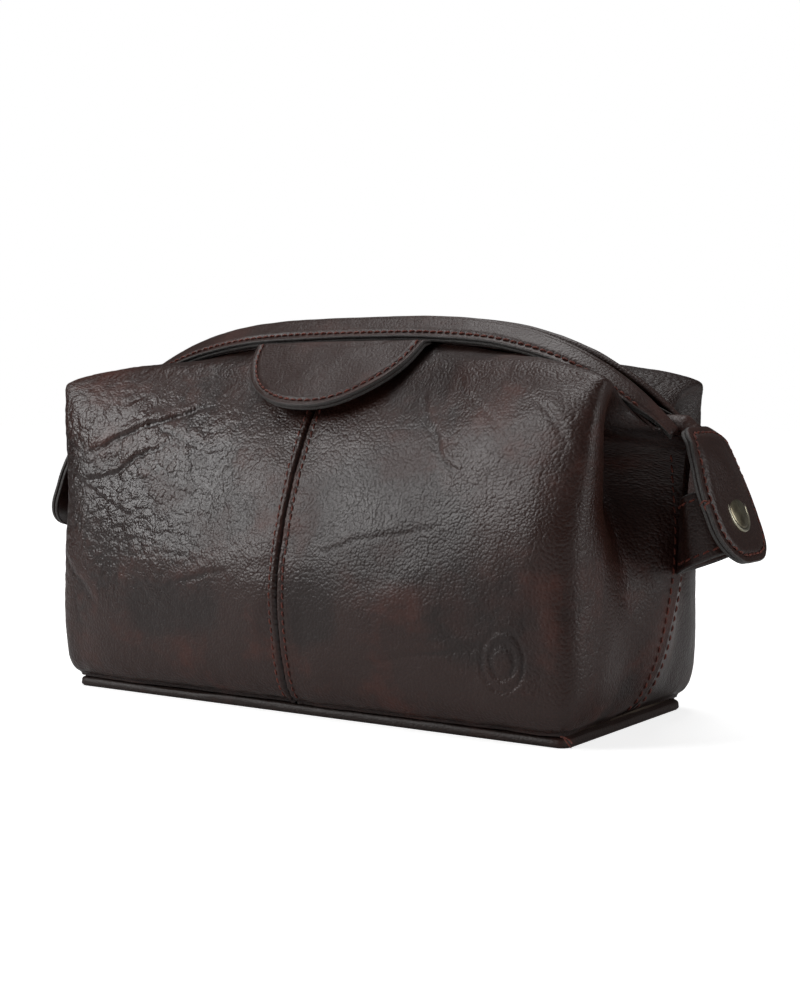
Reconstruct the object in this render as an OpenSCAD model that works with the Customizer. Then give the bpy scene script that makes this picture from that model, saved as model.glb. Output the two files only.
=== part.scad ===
// Framed leather wash bag: a flat-bottomed body of four hide panels whose mouth is held by two
// hinged spring bows in leather sleeves, with a zip between them, a half-moon pull tab on each
// sleeve, and at each end a press-stud tab that snaps onto a folded strap loop.
// +X is along the mouth, -Y is the front, +Z is up. The origin is the middle of the base.

/* [Body] */
// Length of the base
base_length = 225; // [180:1:280]
// Width of the base, front to back
base_width = 90; // [72:1:112]
// Height of the mouth's ridge over its middle
ridge_height = 147.6; // [120:0.1:185]
// Corner radius of the base
base_corner = 4; // [3:0.5:9]
// Thickness of the body leather
leather = 2; // [1.6:0.1:2.6]
// Height of the piping round the base
piping_height = 4; // [3:0.1:5]
// How far the piping stands out from the base
piping_out = 1.6; // [1:0.1:2.4]
// Thickness of the stiffening board over the base
board = 1.6; // [1:0.1:2.4]
// Thickness of the cloth lining
lining = 0.8; // [0.6:0.1:1.2]
// Width of the tape inside the centre seams
seam_tape = 14; // [10:1:18]

/* [Mouth] */
// Distance between the ends of the mouth
mouth_length = 270; // [216:1:330]
// Height that the mouth's ridge drops from its middle to its ends
ridge_drop = 42.6; // [30:0.1:52]
// Width of a sleeve from its ridge fold to its sewn edge
sleeve_width = 11.5; // [11:0.1:14]
// Thickness of a sleeve with its bow inside
sleeve_thickness = 3.2; // [3:0.1:4]
// Width of the spring bow
bow_width = 7.6; // [6:0.1:8]
// Thickness of the spring bow
bow_thickness = 1; // [0.6:0.1:1.2]
// Radius of the hinge pins
pin_radius = 1.5; // [1:0.1:2]

/* [Zip] */
// Width of one tooth across the zip
tooth_reach = 2.6; // [2.2:0.1:3]
// Distance between teeth of one side
tooth_pitch = 4; // [3.6:0.1:5]
// Height of a tooth
tooth_height = 1.6; // [1.2:0.1:2]
// Width of the slider
slider_width = 6; // [5:0.1:6.4]
// Length of the slider
slider_length = 9; // [8:0.1:11]
// Length of the pull
pull_length = 20; // [14:0.5:21]

/* [Pull tabs] */
// Radius of a half-moon pull tab
moon_radius = 39; // [30:1:44]
// Thickness of one ply of a pull tab
moon_ply = 1.7; // [1.2:0.1:2]

/* [End tabs] */
// Width of an end tab
tab_width = 38; // [30:1:42]
// Length of an end tab
tab_length = 50; // [44:1:54]
// Thickness of one ply of an end tab
tab_ply = 1.6; // [1.2:0.1:2]
// Angle of an end tab from upright, in degrees
tab_lean = 23; // [18:1:28]
// Radius of the press-stud cap
cap_radius = 7.5; // [6:0.1:8]
// Radius of the press-stud post
post_radius = 1.9; // [1.5:0.1:2.2]
// Width of the strap that makes a loop
loop_width = 23; // [18:0.5:25]
// Thickness of the strap
loop_thickness = 2.2; // [1.6:0.1:2.6]
// Distance that the loop stands out from the end seam
loop_reach = 19; // [16:0.5:21]
// Width of the loop across its round end
loop_span = 24; // [20:0.5:28]

/* [Hidden] */

hide = [0.17, 0.11, 0.10];
hide_dark = [0.12, 0.08, 0.08];
edge_grey = [0.24, 0.22, 0.22];
brass = [0.58, 0.54, 0.43];
steel = [0.62, 0.62, 0.64];
cloth = [0.30, 0.24, 0.20];
tape = [0.14, 0.10, 0.09];

air = 0.3;            // gap between pieces of different bodies
hair = 0.1;           // gap between pieces of one body
run = 0.05;           // radial clearance of a turning pin
half_length = base_length / 2;
half_width = base_width / 2;
half_mouth = mouth_length / 2;
mouth_end = ridge_height - ridge_drop;

// The body's hide is drawn at this pattern size and then scaled to the sizes above.
pattern = [112.5, 45, 147.6];
fit = [half_length / pattern.x, half_width / pattern.y, ridge_height / pattern.z];

// Control rows of the right front quarter, from the base seam up to below the mouth. Each row runs
// from the centre seam along the front, round the corner, into the end's fold and out to the end seam.
rows = [
    [[0, -46, 4], [42, -46, 4], [84, -45.8, 4], [104, -45.4, 4], [112, -44.5, 4],
     [112.4, -34, 4], [111.5, -20, 4], [111, -8, 4], [111, 0, 4]],
    [[0, -52, 12], [42, -52, 12], [84, -51.5, 12], [104, -50.5, 12], [115, -48, 12],
     [118, -36, 12], [118, -20, 12], [118.5, -8, 12], [119, 0, 12]],
    [[0, -56, 28], [42, -55.5, 28], [84, -54, 28], [104, -52, 28], [116, -48.5, 28],
     [121, -36, 28], [121.5, -20, 28], [124.5, -8, 27], [126, 0, 26]],
    [[0, -57.5, 48], [42, -57, 48], [84, -55, 49], [104.5, -52.5, 50], [116, -48, 50],
     [121, -35, 50], [122, -20, 50], [128.5, -8, 50], [131.6, 0, 50]],
    [[0, -54, 67], [42, -54, 67.5], [84, -53, 69], [105, -52, 71], [116.5, -47, 72],
     [119.5, -35, 72], [116.5, -20, 71], [128, -7, 70], [134, 0, 70]],
    [[0, -47, 88], [42, -47.5, 88], [84, -48.5, 89], [106, -49, 90], [118.5, -45, 90],
     [118.5, -33, 89], [107, -18, 88], [124, -6, 87], [135, 0, 86]],
    [[0, -36.5, 108], [42, -38, 109], [84, -41.5, 111], [107, -43.5, 113], [121, -42, 113],
     [118, -31, 108], [103, -17, 102], [122, -7, 99], [136, 0, 96]],
    [[0, -22, 127], [42, -24, 128], [83, -29, 129], [106, -33, 127], [122, -37, 123],
     [120.5, -28, 117], [114, -18, 106], [127, -8, 102], [136.4, 0, 100]]
];
top_places = [0, 42, 84, 100, 112, 120, 127.5];   // along the mouth, where the top row follows the sleeve
wall_rows = 5;                                    // the stiff lower wall ends at this row

// Ridge of the mouth: a flat-topped arch that falls to the mouth's ends.
function ridge(x) = mouth_end + ridge_drop * (1 - pow(abs(x) / half_mouth, 3.3));
// The sleeves slope like a roof in the middle and lie flatter at the ends.
function slope(x) = 45 - 27 * pow(abs(x) / half_mouth, 3);
sleeve_start = slider_width / 2 + air + sleeve_thickness / 2;
sleeve_end = half_mouth - 9.8;
function sleeve_point(x, across, up) = [
    x,
    -sleeve_start - across * cos(slope(x)) - up * sin(slope(x)),
    ridge(x) - sleeve_thickness / 2 - across * sin(slope(x)) + up * cos(slope(x))
];
hem = sleeve_width - sleeve_thickness / 2 + air + 0.9;
function top_row() = concat(
    [for (x = top_places) let (s = x * half_mouth / 135) sleeve_point(s, hem, 0)],
    [[half_mouth - 2.2, -8.5, mouth_end - 0.8], [half_mouth + 0.6, 0, mouth_end - 2]]
);
net = concat([for (r = rows) [for (p = r) [p.x * fit.x, p.y * fit.y, p.z * fit.z]]], [top_row()]);
last_row = len(net) - 1;
last_place = len(net[0]) - 1;

function before(a, i) = i < 0 ? 2 * a[0] - a[1] : i > len(a) - 1 ? 2 * a[len(a) - 1] - a[len(a) - 2] : a[i];
// Catmull-Rom curve through the points of a, t counted in points.
function curve(a, t) =
    let (i = min(floor(t), len(a) - 2), s = t - i,
         p = before(a, i - 1), q = a[i], r = a[i + 1], w = before(a, i + 2))
    0.5 * (2 * q + (r - p) * s + (2 * p - 5 * q + 4 * r - w) * s * s + (3 * q - p - 3 * r + w) * s * s * s);
function skin(u, v) = curve([for (r = net) curve(r, u)], v);
function unit(a) = a / norm(a);
step = 0.04;
function facing(u, v) = unit(cross(
    skin(min(u + step, last_place), v) - skin(max(u - step, 0), v),
    skin(u, min(v + step, last_row)) - skin(u, max(v - step, 0))
));
// A point at a depth inside the hide, kept on its own side of the centre seam and the end seam.
function under(u, v, depth) =
    let (p = skin(u, v) - depth * facing(u, v))
    [max(p.x, hair / 2), min(p.y, -hair / 2), p.z];

// Closed sheet between two matching grids of points, each given as rows.
module sheet(outer, inner) {
    m = len(outer);
    n = len(outer[0]);
    k = m * n;
    points = concat([for (r = outer) each r], [for (r = inner) each r]);
    function two(a, b, c, d) = [[a, b, c], [a, c, d]];
    faces = concat(
        [for (i = [0 : m - 2], j = [0 : n - 2]) let (a = i * n + j) each two(a, a + n, a + n + 1, a + 1)],
        [for (i = [0 : m - 2], j = [0 : n - 2]) let (a = k + i * n + j) each two(a, a + 1, a + n + 1, a + n)],
        [for (j = [0 : n - 2]) each two(j, j + 1, k + j + 1, k + j)],
        [for (j = [0 : n - 2]) let (a = (m - 1) * n + j) each two(a, k + a, k + a + 1, a + 1)],
        [for (i = [0 : m - 2]) let (a = i * n) each two(a, k + a, k + a + n, a + n)],
        [for (i = [0 : m - 2]) let (a = i * n + n - 1) each two(a, a + n, k + a + n, k + a)]
    );
    polyhedron(points, faces, convexity = 6);
}

// Closed bar swept through rings of points.
module sweep(rings) {
    m = len(rings);
    n = len(rings[0]);
    points = [for (r = rings) each r];
    faces = concat(
        [[for (j = [0 : n - 1]) j]],
        [for (i = [0 : m - 2], j = [0 : n - 1])
            let (a = i * n + j, b = i * n + (j + 1) % n) each [[a, a + n, b + n], [a, b + n, b]]],
        [[for (j = [n - 1 : -1 : 0]) (m - 1) * n + j]]
    );
    polyhedron(points, faces, convexity = 6);
}

function spread(from, to, count) = [for (i = [0 : count]) from + (to - from) * i / count];
wall_top = wall_rows - 0.05;
wall_levels = spread(0, wall_top, 12);
inside_levels = [for (v = wall_levels) if (v > 0.4 && v < wall_top - 0.2) v];
shoulder_low = wall_rows + 0.02;

module quarter_wall() {
    us = spread(0, last_place, 26);
    sheet([for (v = wall_levels) [for (u = us) under(u, v, 0)]],
          [for (v = wall_levels) [for (u = us) under(u, v, leather)]]);
}

module front_left_panel() { color(hide) mirror([1, 0, 0]) quarter_wall(); }
module front_right_panel() { color(hide) quarter_wall(); }
module rear_left_panel() { color(hide) mirror([0, 1, 0]) mirror([1, 0, 0]) quarter_wall(); }
module rear_right_panel() { color(hide) mirror([0, 1, 0]) quarter_wall(); }

// The soft upper hide of one side, from the top of the wall to the sleeve's sewn edge.
module shoulder() {
    us = spread(-last_place, last_place, 52);
    vs = spread(shoulder_low, last_row, 8);
    function side(u, v, d) = let (p = under(abs(u), v, d)) u < 0 ? [-p.x, p.y, p.z] : u > 0 ? p : [0, p.y, p.z];
    sheet([for (v = vs) [for (u = us) side(u, v, 0)]],
          [for (v = vs) [for (u = us) side(u, v, leather)]]);
}

module front_shoulder() { color(hide) shoulder(); }
module rear_shoulder() { color(hide) mirror([0, 1, 0]) shoulder(); }

// The lining hangs just inside the wall and stops short of the end seams.
module half_lining() {
    us = spread(0.35 - last_place, last_place - 0.35, 42);
    gap = leather + 3 * air;
    function side(u, v, d) = let (p = under(abs(u), v, d)) [(u < 0 ? -1 : u > 0 ? 1 : 0) * p.x, p.y, p.z];
    sheet([for (v = inside_levels) [for (u = us) side(u, v, gap)]],
          [for (v = inside_levels) [for (u = us) side(u, v, gap + lining)]]);
}

module front_lining() { color(cloth) half_lining(); }
module rear_lining() { color(cloth) mirror([0, 1, 0]) half_lining(); }

// Tape stitched over the inside of the centre seam, between the wall and the lining.
module half_seam_tape() {
    us = spread(-seam_tape / 84, seam_tape / 84, 4);
    function side(u, v, d) = let (p = skin(abs(u), v) - d * facing(abs(u), v)) [u < 0 ? -p.x : p.x, p.y, p.z];
    sheet([for (v = inside_levels) [for (u = us) side(u, v, leather + 2 * hair)]],
          [for (v = inside_levels) [for (u = us) side(u, v, leather + air + hair)]]);
}

module front_seam_tape() { color(tape) half_seam_tape(); }
module rear_seam_tape() { color(tape) mirror([0, 1, 0]) half_seam_tape(); }

module base_shape(inset) {
    r = max(base_corner - inset, 1);
    l = half_length - inset - r;
    w = half_width - inset - r;
    union() {
        square([2 * l, 2 * (w + r)], center = true);
        square([2 * (l + r), 2 * w], center = true);
        for (x = [-l, l], y = [-w, w]) translate([x, y]) circle(r, $fn = 48);
    }
}

module base_panel() { color(hide_dark) linear_extrude(leather) base_shape(hair); }

module base_piping() {
    color(hide_dark) linear_extrude(piping_height - hair) difference() {
        base_shape(-piping_out);
        base_shape(0);
    }
}

module base_board() { color(cloth) translate([0, 0, leather + hair]) linear_extrude(board) base_shape(leather + 1); }

module base_lining() {
    color(cloth) translate([0, 0, leather + board + 2 * hair]) linear_extrude(lining) base_shape(leather + 1);
}

// A sleeve is folded over its bow: its section goes up the inner side, round the ridge fold and back.
sleeve_middle = (sleeve_width - sleeve_thickness) / 2;
sleeve_far = sleeve_width - sleeve_thickness / 2;
slot_thick = bow_thickness + 0.3;
function fold(x, thick) = concat(
    [for (q = [1, 0.75, 0.5, 0.25]) sleeve_point(x, q * sleeve_far, -thick / 2)],
    [for (a = [-90 : 30 : 90]) sleeve_point(x, -cos(a) * thick / 2, sin(a) * thick / 2)],
    [for (q = [0.25, 0.5, 0.75, 1]) sleeve_point(x, q * sleeve_far, thick / 2)]
);

module sleeve() {
    xs = spread(-sleeve_end, sleeve_end, 36);
    sheet([for (x = xs) fold(x, sleeve_thickness)], [for (x = xs) fold(x, slot_thick)]);
}

module front_sleeve() { color(hide) sleeve(); }
module rear_sleeve() { color(hide) mirror([0, 1, 0]) sleeve(); }

// Hinge of the mouth: one pin along X at each end.
hinge_z = mouth_end + 1;
lug_x = half_mouth - 6.6;
lug = 1.4;

// A spring strip along the arch, riveted at each end to the eye that turns on the pin.
module bow(lug_place) {
    strip_end = lug_x + lug_place - lug / 2 - hair;
    sweep([for (x = spread(-strip_end, strip_end, 36))
        let (half = bow_width / 2 * (1 - 0.75 * pow(abs(x) / half_mouth, 12)))
        [for (c = [[-1, -1], [-1, 1], [1, 1], [1, -1]])
            sleeve_point(x, sleeve_middle - 1.2 * pow(abs(x) / half_mouth, 12) + c.x * half, c.y * bow_thickness / 2)]]);
    for (s = [-1, 1]) bow_lug(s, lug_place);
}

// Eye of a bow, a plate that reaches from the strip to the pin.
module bow_lug(s, lug_place) {
    tip = sleeve_point(lug_x, sleeve_middle, 0);
    inner = sleeve_point(lug_x, 0, 0);
    translate([s * (lug_x + lug_place) - lug / 2, 0, 0]) rotate([90, 0, 90]) linear_extrude(lug) difference() {
        union() {
            translate([0, hinge_z]) circle(pin_radius + 1.6, $fn = 48);
            polygon([[0, hinge_z - 2], [0, hinge_z + 2.6], [inner.y, inner.z + 0.6],
                     [tip.y, tip.z - 0.6], [tip.y, tip.z - 2]]);
        }
        translate([0, hinge_z]) circle(pin_radius + run, $fn = 48);
    }
}

module front_bow() { color(steel) bow(0); }
module rear_bow() { color(steel) mirror([0, 1, 0]) bow(lug + 2 * air); }

module hinge_pin(s) {
    from = lug_x - lug / 2 - 1;
    color(steel) translate([s * from, 0, hinge_z]) rotate([0, s * 90, 0]) {
        cylinder(r = pin_radius, h = half_mouth - from - 0.6, $fn = 48);
        translate([0, 0, -0.8]) cylinder(r = pin_radius + 0.9, h = 0.8, $fn = 48);
    }
}

module left_hinge_pin() hinge_pin(-1);
module right_hinge_pin() hinge_pin(1);

// Riveted block at the end of the mouth that carries the pin.
block_x = lug_x + 1.5 * lug + 3 * air;

module hinge_block(s) {
    color(steel) translate([s * block_x, 0, hinge_z]) rotate([0, s * 90, 0]) difference() {
        cylinder(r = pin_radius + 1.2, h = 2, $fn = 48);
        translate([0, 0, -1]) cylinder(r = pin_radius, h = 4, $fn = 48);
    }
}

module left_hinge_block() hinge_block(-1);
module right_hinge_block() hinge_block(1);

// Zip: it lies on a circle about an axis along Y, so that the slider travels as on a track.
zip_middle = ridge_height - 5.6;
zip_end_x = half_mouth - 6;
zip_end_z = mouth_end + 5;
zip_rise = zip_middle - zip_end_z;
zip_radius = (zip_end_x * zip_end_x + zip_rise * zip_rise) / (2 * zip_rise);
zip_centre = zip_middle - zip_radius;
chain_x = half_mouth - 25;
chain_angle = asin(chain_x / zip_radius);
park_angle = asin((half_mouth - 14.5) / zip_radius);
tape_edge = 2;
tape_thick = 0.5;
function zip_z(x) = zip_centre + sqrt(zip_radius * zip_radius - x * x);

module zip_tape() {
    xs = spread(-chain_x, chain_x, 32);
    k = -sleeve_start;
    under_fold = sleeve_thickness / 2 + hair;
    sweep([for (x = xs)
        let (z = zip_z(x), top = min(ridge(x) - under_fold + hair - under_fold / cos(slope(x)), z + 9))
        [[x, -tape_edge, z - tape_thick], [x, -tape_edge, z], [x, k + 1, z], [x, k, top],
         [x, k - tape_thick, top - tape_thick * tan(slope(x))], [x, k + 1 - tape_thick, z - tape_thick]]]);
}

module front_zip_tape() { color(tape) zip_tape(); }
module rear_zip_tape() { color(tape) mirror([0, 1, 0]) zip_tape(); }

tooth_gap = 0.35;
tooth_length = tooth_pitch / 2 - tooth_gap;
tooth_step = tooth_pitch / zip_radius * 180 / PI;
tooth_count = floor(chain_angle / tooth_step) - 1;

// One row of teeth, each gripping the edge of its tape.
module teeth(shift) {
    for (i = [-tooth_count : tooth_count])
        translate([0, 0, zip_centre]) rotate([0, (i + shift) * tooth_step, 0])
            translate([-tooth_length / 2, -tape_edge + 0.05, zip_radius - tape_thick / 2 - tooth_height / 2])
                cube([tooth_length, tooth_reach, tooth_height]);
}

module front_zip_teeth() { color(brass) teeth(0); }
module rear_zip_teeth() { color(brass) mirror([0, 1, 0]) teeth(0.5); }

// Last stretch of the two tapes, sewn to the body beyond the chain.
module zip_end(s) {
    from = asin((chain_x + 1) / zip_radius);
    to = asin((half_mouth - 7.5) / zip_radius);
    strip = slider_width / 2 - tape_edge;
    color(tape) translate([0, 0, zip_centre]) rotate([90, 0, 0]) rotate([0, 0, s > 0 ? 90 - to : 90 + from])
        for (y = [-slider_width / 2, tape_edge])
            rotate_extrude(angle = to - from, $fn = 180)
                translate([zip_radius - tape_thick, y]) square([tape_thick, strip]);
}

module left_zip_end() zip_end(-1);
module right_zip_end() zip_end(1);

plate = 0.9;
mouthway = tooth_height + 0.7;

// Slider parked past the end of the chain: two plates joined by a wedge post.
module zip_slider() {
    color(brass) translate([0, 0, zip_centre]) rotate([0, -park_angle, 0])
        translate([0, 0, zip_radius - tape_thick / 2]) {
            for (z = [mouthway / 2, -mouthway / 2 - plate])
                translate([0, 0, z]) linear_extrude(plate) slider_outline();
            translate([-slider_length / 2 + 0.9, 0, -mouthway / 2]) linear_extrude(mouthway)
                polygon([[-0.8, -0.9], [1.6, 0], [-0.8, 0.9]]);
            translate([0, 0, mouthway / 2 + plate]) difference() {
                translate([-2.4, -0.8, 0]) cube([4.8, 1.6, 2]);
                translate([0, 0, 0.9]) rotate([90, 0, 0]) cylinder(r = 0.75, h = 4, center = true, $fn = 32);
            }
        }
}

module slider_outline() {
    w = slider_width / 2;
    l = slider_length / 2;
    polygon([[-l, -w * 0.55], [-l + 2, -w], [l - 3, -w], [l, -w * 0.6], [l, w * 0.6], [l - 3, w], [-l + 2, w],
             [-l, w * 0.55]]);
}

// The pull hangs on a round bar through the slider's bridge and lies along the zip.
module zip_pull() {
    bar = 0.65;
    top = mouthway / 2 + plate + 0.9;
    color(brass) translate([0, 0, zip_centre]) rotate([0, -park_angle, 0])
        translate([0, 0, zip_radius - tape_thick / 2 + top]) {
            rotate([90, 0, 0]) cylinder(r = bar, h = 3.4, center = true, $fn = 32);
            for (y = [-2.3, 1.3]) translate([-bar, y, -bar]) cube([pull_length - 12, 1, 2 * bar]);
            translate([pull_length - 12 - bar, 0, -bar]) linear_extrude(2 * bar) difference() {
                union() {
                    translate([0, -2.3]) square([8, 4.6]);
                    translate([8, 0]) circle(2.3, $fn = 48);
                }
                translate([7.6, 0]) circle(1, $fn = 32);
            }
        }
}

// Half-moon pull tabs: two plies that hang from a narrow root under the sleeve's sewn edge.
moon_at = sleeve_point(0, hem + 0.7, 2.2);
moon_pivot = [moon_at.y, moon_at.z];
moon_slope = 43;
root_deep = 2.6;

module moon_plane() { translate([0, moon_pivot.x, moon_pivot.y]) rotate([180 + moon_slope, 0, 0]) children(); }

module moon_shape(r) {
    intersection() {
        circle(r, $fn = 96);
        translate([-r, root_deep + air]) square([2 * r, r]);
    }
}

module moon_root() {
    moon_plane() translate([-moon_radius * 0.94, -0.4, -moon_ply]) cube([moon_radius * 1.88, root_deep, 2 * moon_ply]);
}

module moon_outer() { moon_plane() translate([0, 0, -moon_ply]) linear_extrude(moon_ply - 0.02) moon_shape(moon_radius); }
module moon_inner() { moon_plane() translate([0, 0, 0.02]) linear_extrude(moon_ply - 0.02) moon_shape(moon_radius - 0.3); }

module front_pull_tab_root() { color(hide) moon_root(); }
module rear_pull_tab_root() { color(hide) mirror([0, 1, 0]) moon_root(); }
module front_pull_tab_outer() { color(hide) moon_outer(); }
module rear_pull_tab_outer() { color(hide) mirror([0, 1, 0]) moon_outer(); }
module front_pull_tab_inner() { color(edge_grey) moon_inner(); }
module rear_pull_tab_inner() { color(edge_grey) mirror([0, 1, 0]) moon_inner(); }

// End tabs lie in a leaning plane. In that plane X is across the tab, Y runs down it and Z is outwards.
tab_top = [half_mouth + 4, mouth_end + 2];
stud_down = tab_length * 0.64;

module tab_plane() {
    translate([tab_top.x, 0, tab_top.y]) multmatrix([
        [0, sin(tab_lean), cos(tab_lean), 0],
        [1, 0, 0, 0],
        [0, -cos(tab_lean), sin(tab_lean), 0]
    ]) children();
}

module tab_shape(inset) {
    w = tab_width / 2 - inset;
    r = 8 - inset;
    end = 15 - inset;
    union() {
        translate([-w, r + inset]) square([2 * w, tab_length - r - end - 2 * inset]);
        translate([-w + r, inset]) square([2 * (w - r), r + 1]);
        for (x = [-w + r, w - r]) translate([x, r + inset]) circle(r, $fn = 48);
        translate([-w + end, tab_length - inset - end - 1]) square([2 * (w - end), end + 1]);
        for (x = [-w + end, w - end]) translate([x, tab_length - inset - end]) circle(end, $fn = 64);
    }
}

module tab_outer() {
    tab_plane() translate([0, 0, 0.02]) linear_extrude(tab_ply) difference() {
        tab_shape(0);
        translate([0, stud_down]) circle(post_radius + hair, $fn = 48);
    }
}

module tab_inner() {
    tab_plane() translate([0, 0, -tab_ply - 0.02]) linear_extrude(tab_ply) difference() {
        tab_shape(0.4);
        translate([0, stud_down]) circle(5, $fn = 48);
    }
}

// Domed cap whose shank passes through the outer ply.
module tab_cap() {
    dome = 1.6;
    ball = (cap_radius * cap_radius + dome * dome) / (2 * dome);
    tab_plane() translate([0, stud_down, tab_ply + 0.02 + hair]) union() {
        rotate_extrude($fn = 96) intersection() {
            translate([0, dome - ball]) circle(ball, $fn = 180);
            square([cap_radius, dome]);
        }
        translate([0, 0, -tab_ply - hair - 0.02]) cylinder(r = post_radius, h = tab_ply + hair + 0.1, $fn = 48);
    }
}

// Socket in the inner ply, open towards the loop.
module tab_socket() {
    tab_plane() translate([0, stud_down, -tab_ply - 0.02]) difference() {
        cylinder(r = 4.9, h = tab_ply - 0.02, $fn = 64);
        translate([0, 0, -1]) cylinder(r = post_radius + 0.4, h = tab_ply + 0.4, $fn = 48);
    }
}

module left_side() { mirror([1, 0, 0]) children(); }
module left_tab_outer() { color(hide) left_side() tab_outer(); }
module right_tab_outer() { color(hide) tab_outer(); }
module left_tab_inner() { color(edge_grey) left_side() tab_inner(); }
module right_tab_inner() { color(edge_grey) tab_inner(); }
module left_tab_cap() { color(brass) left_side() tab_cap(); }
module right_tab_cap() { color(brass) tab_cap(); }
module left_tab_socket() { color(brass) left_side() tab_socket(); }
module right_tab_socket() { color(brass) tab_socket(); }

// Outline of the folded strap, a drop whose point is at the end seam and whose round end meets the tab.
loop_top = -tab_ply - air - 0.1;
loop_tail = 6;
function drop_half(q) = q < 0.5 ? sin(180 * q) : pow(1 - pow(2 * q - 1, 5), 0.4);
function drop_side(grow) = let (reach = loop_reach + loop_tail)
    [for (i = [0 : 40]) let (q = sin(90 * i / 40))
        [(loop_span / 2 + grow) * drop_half(q), loop_top - reach + (reach + grow) * q]];
function other_side(a) = [for (i = [len(a) - 2 : -1 : 1]) [-a[i].x, a[i].y]];

module drop_shape(grow) {
    side = drop_side(grow);
    polygon(concat(side, other_side(side)));
}

module strap_loop() {
    end_wall = rows[4][last_place].x * fit.x;
    difference() {
        tab_plane() translate([0, stud_down - loop_width / 2 + 1, 0]) rotate([-90, 0, 0]) mirror([0, 1, 0])
            linear_extrude(loop_width) difference() {
                drop_shape(0);
                drop_shape(-loop_thickness);
            }
        translate([end_wall + 0.6 - 60, -40, 0]) cube([60, 80, ridge_height]);
        tab_plane() translate([0, stud_down, loop_top - 3]) cylinder(r = post_radius + hair, h = 8, $fn = 48);
    }
}

// Stud through the loop's round end, with its post standing into the socket.
module stud() {
    flange = loop_top - loop_thickness - 0.5;
    tab_plane() translate([0, stud_down, flange]) union() {
        translate([0, 0, -0.8]) cylinder(r = 4.4, h = 0.8, $fn = 64);
        cylinder(r = post_radius, h = -tab_ply + 0.7 - flange, $fn = 48);
    }
}

module left_strap_loop() { color(hide_dark) left_side() strap_loop(); }
module right_strap_loop() { color(hide_dark) strap_loop(); }
module left_stud() { color(brass) left_side() stud(); }
module right_stud() { color(brass) stud(); }

base_panel();
base_piping();
base_board();
base_lining();
front_left_panel();
front_right_panel();
rear_left_panel();
rear_right_panel();
front_shoulder();
rear_shoulder();
front_lining();
rear_lining();
front_seam_tape();
rear_seam_tape();
front_sleeve();
rear_sleeve();
front_bow();
rear_bow();
front_zip_tape();
rear_zip_tape();
front_zip_teeth();
rear_zip_teeth();
left_hinge_pin();
right_hinge_pin();
left_hinge_block();
right_hinge_block();
left_zip_end();
right_zip_end();
zip_slider();
zip_pull();
front_pull_tab_root();
rear_pull_tab_root();
front_pull_tab_outer();
front_pull_tab_inner();
rear_pull_tab_outer();
rear_pull_tab_inner();
left_strap_loop();
right_strap_loop();
left_stud();
right_stud();
left_tab_outer();
left_tab_inner();
left_tab_cap();
left_tab_socket();
right_tab_outer();
right_tab_inner();
right_tab_cap();
right_tab_socket();
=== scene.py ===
import math
import bpy
import numpy as np
from mathutils import Matrix, Vector


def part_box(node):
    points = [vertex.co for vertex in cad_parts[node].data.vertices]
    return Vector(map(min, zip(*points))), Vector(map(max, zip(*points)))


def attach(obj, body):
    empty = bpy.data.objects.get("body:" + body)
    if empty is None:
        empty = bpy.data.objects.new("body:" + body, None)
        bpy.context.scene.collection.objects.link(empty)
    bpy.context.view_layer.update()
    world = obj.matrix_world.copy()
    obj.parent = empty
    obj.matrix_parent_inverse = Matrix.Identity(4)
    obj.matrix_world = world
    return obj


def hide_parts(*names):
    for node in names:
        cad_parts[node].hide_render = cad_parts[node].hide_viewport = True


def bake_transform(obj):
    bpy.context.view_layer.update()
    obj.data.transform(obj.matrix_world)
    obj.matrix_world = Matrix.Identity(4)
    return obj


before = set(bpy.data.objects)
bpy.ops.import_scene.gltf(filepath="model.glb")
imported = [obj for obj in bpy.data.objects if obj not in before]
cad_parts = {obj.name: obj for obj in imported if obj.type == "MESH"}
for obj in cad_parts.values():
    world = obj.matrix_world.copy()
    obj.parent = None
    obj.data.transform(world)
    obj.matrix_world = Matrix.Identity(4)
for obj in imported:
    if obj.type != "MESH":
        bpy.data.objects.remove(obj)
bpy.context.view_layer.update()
print("frame loaded")

mm = 0.001
baseLow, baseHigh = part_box("base_panel")
halfLength = (baseHigh.x - baseLow.x) / 2 + 0.1 * mm
halfWidth = (baseHigh.y - baseLow.y) / 2 + 0.1 * mm


# ---- arrays and meshes ----

def smooth(t):
    t = np.clip(t, 0.0, 1.0)
    return t * t * (3 - 2 * t)


def bell(x, width):
    return np.exp(-(x / width) ** 2)


def unit(v):
    return v / np.maximum(np.linalg.norm(v, axis=-1, keepdims=True), 1e-12)


def valueNoise(x, y, seed):
    # random heights on a unit grid, blended between the four nearest with smooth weights
    table = np.random.RandomState(seed).rand(64, 64) * 2 - 1
    i, j = np.floor(x).astype(int), np.floor(y).astype(int)
    a, b = smooth(x - i), smooth(y - j)
    low = table[i % 64, j % 64] * (1 - a) + table[(i + 1) % 64, j % 64] * a
    high = table[i % 64, (j + 1) % 64] * (1 - a) + table[(i + 1) % 64, (j + 1) % 64] * a
    return low * (1 - b) + high * b


def layeredNoise(x, y, seed, layers=3):
    total, weight = 0, 1.0
    for k in range(layers):
        total = total + weight * valueNoise(x * 2 ** k + 7.3 * k, y * 2 ** k + 3.1 * k, seed + k)
        weight *= 0.5
    return total


def cellEdges(x, y, seed):
    # jittered grid of cells: distance to the second nearest centre less the nearest, 0 on a cell's edge
    table = np.random.RandomState(seed).rand(64, 64, 2)
    i, j = np.floor(x).astype(int), np.floor(y).astype(int)
    first, second = np.full(np.shape(x), 9.0), np.full(np.shape(x), 9.0)
    for p in (-1, 0, 1):
        for q in (-1, 0, 1):
            jitter = table[(i + p) % 64, (j + q) % 64]
            d = np.hypot(x - i - p - jitter[..., 0], y - j - q - jitter[..., 1])
            second = np.minimum(second, np.maximum(first, d))
            first = np.minimum(first, d)
    return second - first


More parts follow.
